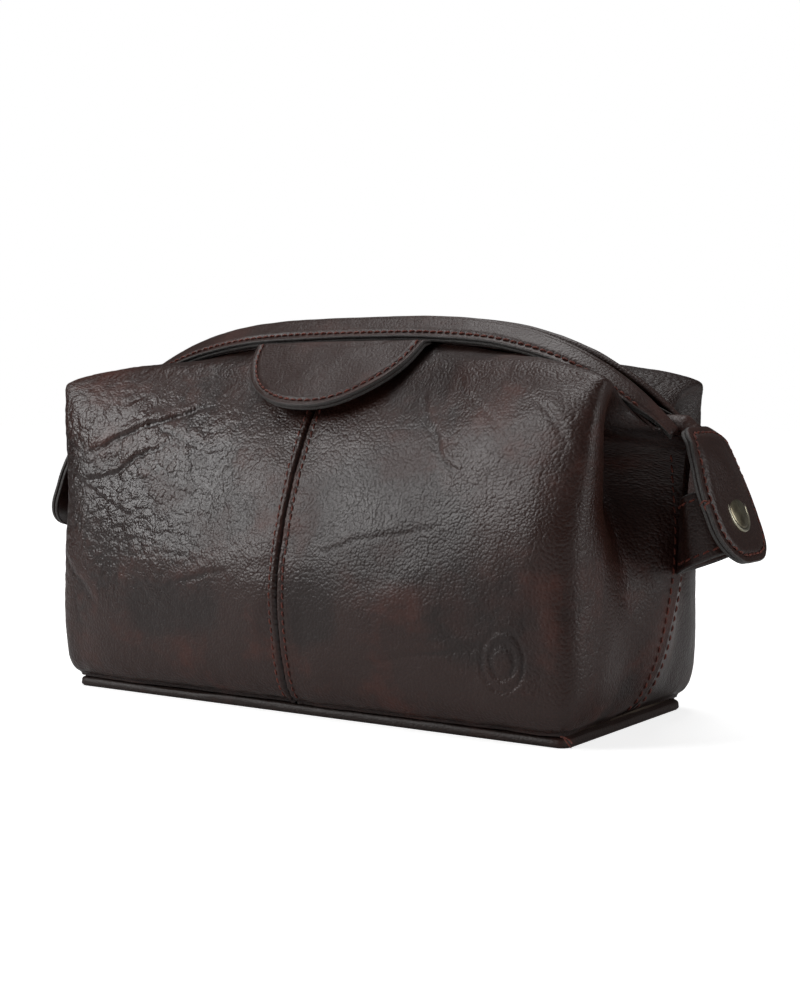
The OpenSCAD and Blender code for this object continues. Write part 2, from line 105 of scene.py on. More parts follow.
def gridFaces(rows, columns, wrapRows=False, wrapColumns=False):
    # quads of a grid numbered row by row, closing on itself where asked
    i = np.arange(rows if wrapRows else rows - 1)[:, None]
    j = np.arange(columns if wrapColumns else columns - 1)[None, :]
    ni, nj = (i + 1) % rows, (j + 1) % columns
    corners = [i * columns + j, i * columns + nj, ni * columns + nj, ni * columns + j]
    return np.stack([np.broadcast_to(c, (i.size, j.size)) for c in corners], -1).reshape(-1, 4)


def makeMesh(name, verts, faces, uv=None, marks=None, sharpBorder=False, shade=True):
    # faces: one array of polygons, or a list of arrays with different corner counts
    verts = np.asarray(verts, float).reshape(-1, 3)
    many = isinstance(faces, list) and isinstance(faces[0], np.ndarray)
    groups = faces if many else [np.asarray(faces, int)]
    corners = np.concatenate([g.ravel() for g in groups])
    sizes = np.concatenate([np.full(len(g), g.shape[1]) for g in groups])
    mesh = bpy.data.meshes.new(name)
    mesh.vertices.add(len(verts))
    mesh.vertices.foreach_set("co", verts.ravel())
    mesh.loops.add(len(corners))
    mesh.loops.foreach_set("vertex_index", corners)
    mesh.polygons.add(len(sizes))
    mesh.polygons.foreach_set("loop_start", np.cumsum(sizes) - sizes)
    mesh.polygons.foreach_set("loop_total", sizes)
    mesh.polygons.foreach_set("use_smooth", np.full(len(sizes), shade))
    if uv is not None:
        layer = mesh.uv_layers.new(name="surface")
        layer.data.foreach_set("uv", np.asarray(uv, float).reshape(-1, 2)[corners].ravel())
    mesh.update(calc_edges=True)
    for key, values in (marks or {}).items():
        mark = mesh.attributes.new(key, "FLOAT", "POINT")
        mark.data.foreach_set("value", np.asarray(values, float).ravel())
    if sharpBorder:
        count = np.zeros(len(mesh.edges), int)
        used = np.empty(len(mesh.loops), int)
        mesh.loops.foreach_get("edge_index", used)
        np.add.at(count, used, 1)
        sharp = mesh.attributes.get("sharp_edge") or mesh.attributes.new("sharp_edge", "BOOLEAN", "EDGE")
        sharp.data.foreach_set("value", count == 1)
    obj = bpy.data.objects.new(name, mesh)
    bpy.context.scene.collection.objects.link(obj)
    return obj


def finishPiece(obj, body, material):
    obj.data.materials.append(material)
    if body:
        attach(obj, body)
    return obj


# ---- shape of the hide ----

# control rows of the right front quarter, the same as the frame's: from the base seam to the sleeve,
# each from the centre seam round the ear and the end's fold to the end seam
hideRows = np.array([
    [(0, -46, 4), (42, -46, 4), (84, -45.8, 4), (104, -45.4, 4), (112, -44.5, 4),
     (112.4, -34, 4), (111.5, -20, 4), (111, -8, 4), (111, 0, 4)],
    [(0, -52, 12), (42, -52, 12), (84, -51.5, 12), (104, -50.5, 12), (115, -48, 12),
     (118, -36, 12), (118, -20, 12), (118.5, -8, 12), (119, 0, 12)],
    [(0, -56, 28), (42, -55.5, 28), (84, -54, 28), (104, -52, 28), (116, -48.5, 28),
     (121, -36, 28), (121.5, -20, 28), (124.5, -8, 27), (126, 0, 26)],
    [(0, -57.5, 48), (42, -57, 48), (84, -55, 49), (104.5, -52.5, 50), (116, -48, 50),
     (121, -35, 50), (122, -20, 50), (128.5, -8, 50), (131.6, 0, 50)],
    [(0, -54, 67), (42, -54, 67.5), (84, -53, 69), (105, -52, 71), (116.5, -47, 72),
     (119.5, -35, 72), (116.5, -20, 71), (128, -7, 70), (134, 0, 70)],
    [(0, -47, 88), (42, -47.5, 88), (84, -48.5, 89), (106, -49, 90), (118.5, -45, 90),
     (118.5, -33, 89), (107, -18, 88), (124, -6, 87), (135, 0, 86)],
    [(0, -36.5, 108), (42, -38, 109), (84, -41.5, 111), (107, -43.5, 113), (121, -42, 113),
     (118, -31, 108), (103, -17, 102), (122, -7, 99), (136, 0, 96)],
    [(0, -22, 127), (42, -24, 128), (83, -29, 129), (106, -33, 127), (122, -37, 123),
     (120.5, -28, 117), (114, -18, 106), (127, -8, 102), (136.4, 0, 100)],
]) * mm
mouth = dict(half=135 * mm, top=147.6 * mm, drop=42.6 * mm, sleeveWidth=11.5 * mm, sleeveThick=3.2 * mm,
             start=4.9 * mm, sleeveEnd=133.2 * mm)
hemPlaces = np.array([0, 42, 84, 100, 112, 120, 127.5]) * mm


def ridge(x):
    # flat-topped arch: top less the drop times the 3.3 power of the distance from the middle
    return mouth["top"] - mouth["drop"] * (np.abs(x) / mouth["half"]) ** 3.3


def roofSlope(x):
    return np.radians(45 - 27 * (np.abs(x) / mouth["half"]) ** 3)


def sleevePoint(x, across, up):
    # point of the front sleeve: across runs from the ridge fold to the sewn edge, up is out of its face
    s = roofSlope(x)
    return np.stack([x + 0 * across + 0 * up,
                     -mouth["start"] - across * np.cos(s) - up * np.sin(s),
                     ridge(x) - mouth["sleeveThick"] / 2 - across * np.sin(s) + up * np.cos(s)], -1)


hemAcross = mouth["sleeveWidth"] - mouth["sleeveThick"] / 2 - 0.6 * mm
hemUp = np.array([-3.0, -2.8, -1.2, -0.9, -0.9, -0.9, -0.9]) * mm
topRow = np.concatenate([
    sleevePoint(hemPlaces, hemAcross + 0 * hemPlaces, hemUp),
    np.array([(132.8, -8.5, 104.2), (135.6, 0, 103)]) * mm])
net = np.concatenate([hideRows, topRow[None]])
lastRow, lastPlace = net.shape[0] - 1, net.shape[1] - 1
wideNet = np.concatenate([2 * net[:1] - net[1:2], net, 2 * net[-1:] - net[-2:-1]])
wideNet = np.concatenate([2 * wideNet[:, :1] - wideNet[:, 1:2], wideNet,
                          2 * wideNet[:, -1:] - wideNet[:, -2:-1]], 1)


def curveWeights(s):
    # Catmull-Rom weights of the four nearest control points
    return [0.5 * (-s + 2 * s ** 2 - s ** 3), 0.5 * (2 - 5 * s ** 2 + 3 * s ** 3),
            0.5 * (s + 4 * s ** 2 - 3 * s ** 3), 0.5 * (-s ** 2 + s ** 3)]


def skin(u, v):
    # smooth surface through the control rows, u counted in places and v in rows
    i = np.clip(np.floor(v).astype(int), 0, lastRow - 1)
    j = np.clip(np.floor(u).astype(int), 0, lastPlace - 1)
    rows, places = curveWeights(v - i), curveWeights(u - j)
    return sum(rows[p][..., None] * places[q][..., None] * wideNet[i + p, j + q]
               for p in range(4) for q in range(4))


def skinFacing(u, v):
    h = 0.02
    along = skin(np.minimum(u + h, lastPlace), v) - skin(np.maximum(u - h, 0), v)
    upward = skin(u, np.minimum(v + h, lastRow)) - skin(u, np.maximum(v - h, 0))
    return unit(np.cross(along, upward))


def lengthAlong(points):
    return np.concatenate([[0], np.cumsum(np.linalg.norm(np.diff(points, axis=0), axis=1))])


uTable, vTable = np.linspace(0, lastPlace, 400), np.linspace(0, lastRow, 400)
uLength = lengthAlong(skin(uTable, 0 * uTable + 3.0))
vLength = lengthAlong(skin(0 * vTable + 1.0, vTable))


def cloth(u, v):
    # how far a point lies along the hide: round it from the centre seam, and up it from the base seam
    return np.interp(u, uTable, uLength), np.interp(v, vTable, vLength)


emblem = dict(panel=(1, -1), along=93.0, up=27.0, wide=8.0, tall=10.0, deep=0.34)
# per panel: each crease from one place to another on the flat hide, in mm, and its depth
creases = {
    (-1, -1): [(46, 118, 104, 92, 0.9), (60, 100, 112, 76, 0.6), (30, 96, 84, 108, 0.35),
               (70, 66, 116, 84, 0.4), (20, 52, 60, 40, 0.3), (88, 30, 118, 52, 0.35)],
    (1, -1): [(44, 126, 74, 84, 0.5), (60, 130, 86, 104, 0.4), (52, 112, 66, 92, 0.35),
              (14, 60, 70, 72, 0.25), (30, 20, 100, 34, 0.25), (96, 118, 110, 96, 0.4)],
    (-1, 1): [(40, 112, 92, 88, 0.6), (64, 76, 110, 92, 0.4), (16, 40, 64, 56, 0.3)],
    (1, 1): [(50, 120, 84, 86, 0.5), (22, 92, 70, 100, 0.35), (70, 24, 112, 44, 0.3)],
}
# per panel: middle, radius and strength of the pebbled patch
pebbled = {(-1, -1): (74, 84, 58, 1.0), (1, -1): (60, 110, 44, 0.26), (-1, 1): (60, 100, 40, 0.5),
           (1, 1): (84, 80, 42, 0.7)}


def hideRelief(u, v, hand, side):
    # height of the leather's folds and wrinkles over its smooth shape, and how pebbled it is
    s, t = cloth(u, v)
    a, b = s / mm, t / mm
    seed = 11 * (hand + 2) + 37 * (side + 2)
    inner = smooth(s / (12 * mm)) * smooth((uLength[-1] - s) / (12 * mm))
    height = 0.9 * layeredNoise(a / 46 + 3, b / 38 + 5, seed, 2) * inner
    height += 0.22 * layeredNoise(a / 13, b / 16, seed + 5, 2) * inner
    middleA, middleB, radius, strength = pebbled[(hand, side)]
    patch = strength * np.exp(-((a - middleA) ** 2 + (b - middleB) ** 2) / radius ** 2)
    warpA = a + 2.2 * layeredNoise(a / 9, b / 9, seed + 9, 2)
    warpB = b + 2.2 * layeredNoise(a / 9 + 20, b / 9, seed + 13, 2)
    cells = np.minimum(cellEdges(warpA / 6.2, warpB / 4.6, seed), 0.5)
    fine = np.minimum(cellEdges(warpA / 2.9 + 9, warpB / 2.4, seed + 1), 0.5)
    height += patch * (0.85 * (cells - 0.25) + 0.34 * (fine - 0.25))
    height += 0.10 * (np.minimum(cellEdges(warpA / 9 + 4, warpB / 7, seed + 2), 0.5) - 0.3)
    height += 0.07 * (np.minimum(cellEdges(warpA / 3.4 + 30, warpB / 2.6, seed + 3), 0.5) - 0.3)
    if (hand, side) == emblem["panel"]:
        reach = np.hypot((a - emblem["along"]) / emblem["wide"], (b - emblem["up"]) / emblem["tall"])
        height -= emblem["deep"] * (bell(reach - 1, 0.09) + bell(reach - 0.55, 0.13))
    for x0, y0, x1, y1, deep in creases[(hand, side)]:
        span = math.hypot(x1 - x0, y1 - y0)
        dx, dy = (x1 - x0) / span, (y1 - y0) / span
        along = (a - x0) * dx + (b - y0) * dy
        off = -(a - x0) * dy + (b - y0) * dx + 2.0 * valueNoise(a / 11, b / 11, seed + 21)
        end = smooth(along / span * 4) * smooth((1 - along / span) * 4)
        height += deep * end * (0.55 * bell(off - 2.6, 2.4) - 1.0 * bell(off, 0.9))
    pucker = 0.5 + 0.5 * np.sin(b * 2 * math.pi / 3.3)
    height += -1.0 * bell(a, 0.55) + 0.55 * bell(a - 1.6, 1.5) - 0.34 * bell(a - 2.9, 0.6)
    height += (-0.28 * pucker + 0.1) * bell(a - 1.5, 1.2)
    height += 0.35 * layeredNoise(b / 9, a / 30, seed + 31, 2) * bell(a - 6, 7)
    height += -0.7 * bell(b - 1.0, 1.8) + 0.2 * layeredNoise(a / 8, b / 20, seed + 41, 2) * bell(b - 5, 5)
    return height * mm, patch


def hidePiece(name, hand, side, places, rows, size, body, blendTo=None, start=None, end=None, depth=0.0,
              material=None, slotName="body_leather", thick=1.6 * mm, relief=1.0):
    # grid over a range of places and rows: the skin moved out along its normal by the relief
    u = np.linspace(places[0], places[1], size[0])[None, :] + np.zeros((size[1], 1))
    v = np.linspace(rows[0], rows[1], size[1])[:, None] + np.zeros((1, size[0]))
    height, patch = hideRelief(u, v, hand, side)
    points = skin(u, v) + (relief * height - depth)[..., None] * skinFacing(u, v)
    points[..., 0] = np.maximum(points[..., 0], 0.02 * mm)
    points[..., 1] = np.minimum(points[..., 1], -0.02 * mm)
    s, t = cloth(u, v)
    uv = np.stack([hand * s * 10 + 2, t * 10 + (5 if side > 0 else 0)], -1)
    points = points * np.array([hand, -side, 1.0])
    faces = gridFaces(size[1], size[0])
    if hand * side > 0:
        faces = faces[:, ::-1]
    obj = makeMesh(name, points, faces, uv, {"pebbled": patch, "height": height / mm}, sharpBorder=True)
    solid = obj.modifiers.new("thickness", "SOLIDIFY")
    solid.thickness = thick
    solid.offset = -1
    finishPiece(obj, None if blendTo else body, material)
    if blendTo:
        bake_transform(obj)
    return obj


# ---- materials ----

def nodeIn(tree, kind, **values):
    node = tree.nodes.new(kind)
    for key, value in values.items():
        if key in node.inputs:
            node.inputs[key].default_value = value
        else:
            setattr(node, key, value)
    return node


def newGroup(name, inputs, outputs):
    tree = bpy.data.node_groups.new(name, "ShaderNodeTree")
    for title, kind, value in inputs:
        socket = tree.interface.new_socket(title, in_out="INPUT", socket_type=kind)
        if value is not None:
            socket.default_value = value
    for title, kind in outputs:
        tree.interface.new_socket(title, in_out="OUTPUT", socket_type=kind)
    return tree, tree.nodes.new("NodeGroupInput"), tree.nodes.new("NodeGroupOutput")


def mathNode(tree, operation, a, b=None, clamp=False):
    node = tree.nodes.new("ShaderNodeMath")
    node.operation, node.use_clamp = operation, clamp
    for i, x in enumerate((a, b)):
        if x is None:
            continue
        if isinstance(x, (int, float)):
            node.inputs[i].default_value = x
        else:
            tree.links.new(x, node.inputs[i])
    return node.outputs[0]


def remap(tree, value, low, high, toLow=0.0, toHigh=1.0):
    node = nodeIn(tree, "ShaderNodeMapRange", interpolation_type="SMOOTHSTEP")
    tree.links.new(value, node.inputs["Value"])
    for key, x in (("From Min", low), ("From Max", high), ("To Min", toLow), ("To Max", toHigh)):
        node.inputs[key].default_value = x
    return node.outputs[0]


def blendColour(tree, mask, a, b):
    node = tree.nodes.new("ShaderNodeMix")
    node.data_type = "RGBA"
    tree.links.new(mask, node.inputs["Factor"])
    for i, x in ((6, a), (7, b)):
        if isinstance(x, tuple):
            node.inputs[i].default_value = (*x, 1)
        else:
            tree.links.new(x, node.inputs[i])
    return node.outputs[2]


def makeGrainGroup():
    # hide grain: small soft cells with pores between them, over fine fibre noise
    tree, start, end = newGroup("hideGrain", [
        ("Place", "NodeSocketVector", None), ("Cell size", "NodeSocketFloat", 100.0),
        ("Pores", "NodeSocketFloat", 0.5)], [("Height", "NodeSocketFloat"), ("Mottle", "NodeSocketFloat"),
                                            ("Fibre", "NodeSocketFloat")])
    link = tree.links.new
    wobble = nodeIn(tree, "ShaderNodeTexNoise", Detail=2.0, Scale=40.0)
    link(start.outputs["Place"], wobble.inputs["Vector"])
    shift = nodeIn(tree, "ShaderNodeVectorMath", operation="MULTIPLY_ADD")
    link(wobble.outputs["Color"], shift.inputs[0])
    shift.inputs[1].default_value = (0.008, 0.008, 0.008)
    link(start.outputs["Place"], shift.inputs[2])
    cells = nodeIn(tree, "ShaderNodeTexVoronoi", feature="SMOOTH_F1", Smoothness=0.35)
    link(shift.outputs[0], cells.inputs["Vector"])
    link(start.outputs["Cell size"], cells.inputs["Scale"])
    fibre = nodeIn(tree, "ShaderNodeTexNoise", Detail=3.0, Roughness=0.6)
    link(start.outputs["Place"], fibre.inputs["Vector"])
    link(mathNode(tree, "MULTIPLY", start.outputs["Cell size"], 2.6), fibre.inputs["Scale"])
    mottle = nodeIn(tree, "ShaderNodeTexNoise", Detail=5.0, Roughness=0.62, Scale=3.4)
    link(start.outputs["Place"], mottle.inputs["Vector"])
    domes = mathNode(tree, "SUBTRACT", 1.0, mathNode(tree, "POWER", cells.outputs["Distance"], 1.6))
    grain = mathNode(tree, "MULTIPLY", domes, start.outputs["Pores"])
    height = mathNode(tree, "ADD", grain, mathNode(tree, "MULTIPLY", fibre.outputs[0], 0.35))
    link(height, end.inputs["Height"])
    link(mottle.outputs[0], end.inputs["Mottle"])
    link(fibre.outputs[0], end.inputs["Fibre"])
    return tree


grainGroup = makeGrainGroup()


def surfacePlace(tree, fromUv, scale=10.0):
    # where the pattern is read: the piece's own flat layout, or its place in metres times ten
    if fromUv:
        return nodeIn(tree, "ShaderNodeUVMap", uv_map="surface").outputs[0]
    place = nodeIn(tree, "ShaderNodeTexCoord")
    mapping = nodeIn(tree, "ShaderNodeMapping")
    mapping.inputs["Scale"].default_value = (scale, scale, scale)
    tree.links.new(place.outputs["Object"], mapping.inputs["Vector"])
    return mapping.outputs[0]


def newMaterial(name, **sockets):
    material = bpy.data.materials.new(name)
    material.use_nodes = True
    tree = material.node_tree
    shader = tree.nodes["Principled BSDF"]
    for key, value in sockets.items():
        shader.inputs[key].default_value = value
    return material, tree, shader


def addBump(tree, shader, height, distance, strength=1.0):
    bump = nodeIn(tree, "ShaderNodeBump", Strength=strength, Distance=distance)
    tree.links.new(height, bump.inputs["Height"])
    tree.links.new(bump.outputs[0], shader.inputs["Normal"])


def leatherMaterial(name, look, fromUv=True, pebbledMarks=False):
    material, tree, shader = newMaterial(name)
    shader.inputs["Specular IOR Level"].default_value = look["gloss"]
    shader.inputs["Sheen Weight"].default_value = look["sheen"]
    shader.inputs["Sheen Roughness"].default_value = 0.45
    shader.inputs["Sheen Tint"].default_value = (0.75, 0.62, 0.58, 1)
    shader.inputs["Coat Roughness"].default_value = 0.42
    link = tree.links.new
    grain = tree.nodes.new("ShaderNodeGroup")
    grain.node_tree = grainGroup
    link(surfacePlace(tree, fromUv), grain.inputs["Place"])
    grain.inputs["Cell size"].default_value = look["cells"]
    grain.inputs["Pores"].default_value = look["pores"]
    mottle = grain.outputs["Mottle"]
    red = remap(tree, mottle, 0.50, 0.68)
    colour = blendColour(tree, red, look["dark"], look["red"])
    fine = remap(tree, grain.outputs["Fibre"], 0.35, 0.7)
    worn = mathNode(tree, "MULTIPLY", fine, 0.35)
    colour = blendColour(tree, worn, colour, look["worn"])
    rough = remap(tree, mottle, 0.3, 0.7, look["rough"][0], look["rough"][1])
    if pebbledMarks:
        pebble = nodeIn(tree, "ShaderNodeAttribute", attribute_name="pebbled").outputs["Fac"]
        height = nodeIn(tree, "ShaderNodeAttribute", attribute_name="height").outputs["Fac"]
        # painted shade: the hide's hollows (creases, pores, seam grooves, emblem) are darkened towards the
        # deep colour, more the lower they lie
        paintedHollowShade = mathNode(tree, "MULTIPLY", remap(tree, height, -0.35, 0.1, 1.0, 0.0), 0.55)
        colour = blendColour(tree, paintedHollowShade, colour, look["deep"])
        rough = mathNode(tree, "SUBTRACT", rough, mathNode(tree, "MULTIPLY", pebble, 0.12))
    if not pebbledMarks:
        cut = nodeIn(tree, "ShaderNodeAttribute", attribute_name="cut").outputs["Fac"]
        edge = blendColour(tree, fine, (0.022, 0.020, 0.019), (0.085, 0.078, 0.074))
        colour = blendColour(tree, cut, colour, edge)
        rough = mathNode(tree, "ADD", rough, mathNode(tree, "MULTIPLY", cut, 0.15))
    link(colour, shader.inputs["Base Color"])
    link(mathNode(tree, "ADD", rough, mathNode(tree, "MULTIPLY", grain.outputs["Fibre"], 0.06)),
         shader.inputs["Roughness"])
    addBump(tree, shader, grain.outputs["Height"], look["bump"])
    return material


# deep is the colour of the painted shade laid into the hollows of the hide's relief
hideLook = dict(dark=(0.0195, 0.0056, 0.0036), red=(0.050, 0.0105, 0.0052), worn=(0.052, 0.019, 0.011),
                deep=(0.004, 0.0018, 0.0014), rough=(0.29, 0.42), gloss=0.46, sheen=0.01, cells=95.0,
                pores=0.8, bump=0.00022)
trimLook = dict(hideLook, dark=(0.0175, 0.0058, 0.0042), red=(0.036, 0.0092, 0.0055), rough=(0.34, 0.46),
                cells=110.0, bump=0.00015)
hideLeather = leatherMaterial("waxedHide", hideLook, True, True)
trimLeather = leatherMaterial("trimHide", trimLook, False)
bindingLook = dict(trimLook, dark=(0.0135, 0.0075, 0.0060), rough=(0.46, 0.56))
bindingLeather = leatherMaterial("bindingHide", bindingLook, False)


def threadMaterial():
    material, tree, shader = newMaterial("waxedThread", Roughness=0.55)
    place = surfacePlace(tree, False)
    noise = nodeIn(tree, "ShaderNodeTexNoise", Scale=90.0, Detail=3.0)
    twist = nodeIn(tree, "ShaderNodeTexWave", Scale=420.0, Distortion=2.0)
    twist.bands_direction = "DIAGONAL"
    tree.links.new(place, noise.inputs["Vector"])
    tree.links.new(place, twist.inputs["Vector"])
    worn = remap(tree, noise.outputs[0], 0.3, 0.75)
    colour = blendColour(tree, worn, (0.085, 0.018, 0.011), (0.23, 0.052, 0.030))
    tree.links.new(colour, shader.inputs["Base Color"])
    addBump(tree, shader, twist.outputs["Fac"], 0.0001, 0.7)
    return material


def brassMaterial():
    material, tree, shader = newMaterial("antiqueBrass", Metallic=1.0)
    place = surfacePlace(tree, False)
    cloud = nodeIn(tree, "ShaderNodeTexNoise", Scale=22.0, Detail=5.0, Roughness=0.6)
    scratch = nodeIn(tree, "ShaderNodeTexNoise", Scale=30.0, Detail=6.0, Roughness=0.75)
    stretch = nodeIn(tree, "ShaderNodeMapping")
    stretch.inputs["Scale"].default_value = (2.0, 9.0, 1.4)
    tree.links.new(place, cloud.inputs["Vector"])
    tree.links.new(place, stretch.inputs["Vector"])
    tree.links.new(stretch.outputs[0], scratch.inputs["Vector"])
    tarnish = remap(tree, cloud.outputs[0], 0.38, 0.68)
    colour = blendColour(tree, tarnish, (0.33, 0.30, 0.21), (0.17, 0.145, 0.10))
    rim = nodeIn(tree, "ShaderNodeAttribute", attribute_name="rim").outputs["Fac"]
    colour = blendColour(tree, rim, colour, (0.60, 0.58, 0.47))
    tree.links.new(colour, shader.inputs["Base Color"])
    tree.links.new(remap(tree, scratch.outputs[0], 0.3, 0.7, 0.26, 0.46), shader.inputs["Roughness"])
    addBump(tree, shader, scratch.outputs[0], 0.00006, 0.5)
    return material


def steelMaterial():
    material, tree, shader = newMaterial("springSteel", Metallic=1.0)
    noise = nodeIn(tree, "ShaderNodeTexNoise", Scale=60.0, Detail=4.0)
    tree.links.new(surfacePlace(tree, False), noise.inputs["Vector"])
    tree.links.new(blendColour(tree, noise.outputs[0], (0.13, 0.125, 0.12), (0.22, 0.215, 0.21)),
                   shader.inputs["Base Color"])
    tree.links.new(remap(tree, noise.outputs[0], 0.3, 0.7, 0.38, 0.52), shader.inputs["Roughness"])
    return material


def wovenMaterial(name, light, dark, threads, fromUv):
    # over and under threads from two crossed waves
    material, tree, shader = newMaterial(name, Roughness=0.85)
    shader.inputs["Sheen Weight"].default_value = 0.15
    place = surfacePlace(tree, fromUv)
    waves = []
    for direction in ("X", "Y"):
        wave = nodeIn(tree, "ShaderNodeTexWave", Scale=threads, Distortion=0.6, Detail=1.0)
        wave.bands_direction = direction
        tree.links.new(place, wave.inputs["Vector"])
        waves.append(wave.outputs["Fac"])
    weave = mathNode(tree, "MAXIMUM", waves[0], waves[1])
    tree.links.new(blendColour(tree, weave, dark, light), shader.inputs["Base Color"])
    addBump(tree, shader, weave, 0.00015, 0.8)
    return material


thread = threadMaterial()
brass = brassMaterial()
steel = steelMaterial()
twill = dict(light=(0.17, 0.125, 0.085), dark=(0.07, 0.05, 0.035), threads=130.0)
liningCloth = wovenMaterial("liningTwill", **twill, fromUv=True)
boardCloth = wovenMaterial("boardTwill", **twill, fromUv=False)
zipCloth = wovenMaterial("zipTape", (0.035, 0.024, 0.020), (0.012, 0.009, 0.008), 120.0, False)
print("materials made")


# ---- the hide panels and the lining ----

sideNames = {-1: "front", 1: "rear"}
handNames = {-1: "left", 1: "right"}
panelCut = dict(row=6.2, ear=4.0, corner=6.0)


def hideBend(side):
    # names of the two bodies that the hide lies between, and two points across its side; pieces given these
    # stay fixed where they are made
    return "root", sideNames[side] + "_frame", (0, side * 40 * mm, 0), (0, side * 14.5 * mm, 0)


def bagQuarter(hand, side):
    title = sideNames[side] + "_" + handNames[hand]
    ear, corner, row = panelCut["ear"], panelCut["corner"], panelCut["row"]
    tuckBend = (*hideBend(side)[:2], (0, side * 1 * mm, 0), (0, side * 14 * mm, 0))
    for part, places, rows, size, bend in (
            ("_hide", (0, ear), (0, lastRow), (170, 190), hideBend(side)),
            ("_end_hide", (ear, lastPlace), (0, row), (90, 130), ("root",)),
            ("_end_roll", (ear, corner), (row, lastRow), (60, 50), hideBend(side)),
            ("_end_tuck", (corner, lastPlace), (row, lastRow), (50, 50), tuckBend)):
        piece = hidePiece(title + part, hand, side, places, rows, size, *bend, material=hideLeather)
        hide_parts(title + "_panel", sideNames[side] + "_shoulder")
    liningCut = dict(depth=2.7 * mm, material=liningCloth, slotName="lining_cloth", thick=0.5 * mm,
                     relief=0.35)
    for part, places, rows, size, bend in (
            ("_lining", (0, ear), (0.4, lastRow - 0.05), (60, 60), hideBend(side)),
            ("_end_lining", (ear, lastPlace - 0.4), (0.4, row), (50, 50), ("root",))):
        piece = hidePiece(title + part, hand, side, places, rows, size, *bend, **liningCut)
        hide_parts(sideNames[side] + "_lining")


for side in (-1, 1):
    for hand in (-1, 1):
        bagQuarter(hand, side)
print("hide and lining made")


# ---- builders: plates cut from an outline, bars swept along a path, rows of stitches ----

def fans(columns, firstRow, lastRowIndex, firstPoint, lastPoint):
    # triangles that close a tube of wrapped rows onto one point at each end
    j = np.arange(columns)
    n = (j + 1) % columns
    return [np.stack([firstRow * columns + j, 0 * j + firstPoint, firstRow * columns + n], -1),
            np.stack([lastRowIndex * columns + n, 0 * j + lastPoint, lastRowIndex * columns + j], -1)]


def tube(name, rings, marks=None, flip=False):
    # closed mesh through rings of points (rows, columns, 3), each end drawn in to the ring's middle
    rows, columns = rings.shape[:2]
    verts = np.concatenate([rings.reshape(-1, 3), rings[:1].mean(1), rings[-1:].mean(1)])
    faces = [gridFaces(rows, columns, wrapColumns=True)] + fans(columns, 0, rows - 1, rows * columns,
                                                               rows * columns + 1)
    if flip:
        faces = [f[:, ::-1] for f in faces]
    if marks:
        marks = {k: np.concatenate([np.asarray(m, float).ravel(), [0, 0]]) for k, m in marks.items()}
    return makeMesh(name, verts, faces, marks=marks)


def outlineFacing(outline):
    # outward direction at each point of a closed outline that runs anticlockwise
    d = np.roll(outline, -1, 0) - np.roll(outline, 1, 0)
    return unit(np.stack([d[:, 1], -d[:, 0]], -1))


def roundedOutline(corners, step=0.55 * mm):
    # closed outline through arcs (centre, radius, first and last angle), even steps between them
    points = []
    for cx, cy, r, a0, a1 in corners:
        a = np.radians(np.linspace(a0, a1, max(int(abs(a1 - a0) / 4), 2)))
        points.append(np.stack([cx + r * np.cos(a), cy + r * np.sin(a)], -1))
    loop = np.concatenate(points + [points[0][:1]])
    s = lengthAlong(loop)
    at = np.linspace(0, s[-1], int(s[-1] / step) + 1)[:-1]
    return np.stack([np.interp(at, s, loop[:, k]) for k in (0, 1)], -1)


def placed(basis, x, y, z):
    # points of a tab's own plane, from its origin along its three axes
    return basis[0] + x[..., None] * basis[1] + y[..., None] * basis[2] + z[..., None] * basis[3]


def plate(name, outline, middle, thick, basis, lift, relief=None, border=7 * mm, flip=False, slim=None):
    # sheet cut to an outline: rows run from the outer face's middle over the rounded edge to the inner face
    rounding = 0.6 * mm
    corner = np.radians(np.linspace(0, 90, 5))[1:]
    flatRows, borderRows, edgeRows = 33, 21, len(corner)
    inset = np.concatenate([np.full(flatRows, border), np.linspace(border, rounding, borderRows + 1)[:-1],
                            np.full(edgeRows, rounding), rounding * (1 - np.sin(corner))])
    drop = np.concatenate([np.zeros(flatRows + borderRows + edgeRows), rounding * (1 - np.cos(corner))])
    shrink = np.concatenate([np.linspace(0.04, 1, flatRows + 1)[:-1], np.ones(len(inset) - flatRows)])
    shrink = np.concatenate([shrink, [1], shrink[::-1]])
    inset = np.concatenate([inset, [0], inset[::-1]])
    height = np.concatenate([thick / 2 - drop, [0], -thick / 2 + drop[::-1]])
    rim = outline[None] - outlineFacing(outline)[None] * inset[:, None, None]
    flat = middle + (rim - middle) * shrink[:, None, None]
    x, y = flat[..., 0], flat[..., 1]
    z = height[:, None] * (slim(y) if slim else 1) + lift(x, y)
    if relief is not None:
        z = z + smooth(height / thick + 0.5)[:, None] * relief(x, y, inset[:, None] + 0 * z)
    cut = np.clip(1 - (np.abs(height) - thick * 0.30) / (thick * 0.14), 0, 1)[:, None] + 0 * z
    return tube(name, placed(basis, x, y, z), {"cut": cut * (inset[:, None] < rounding * 2)}, flip)


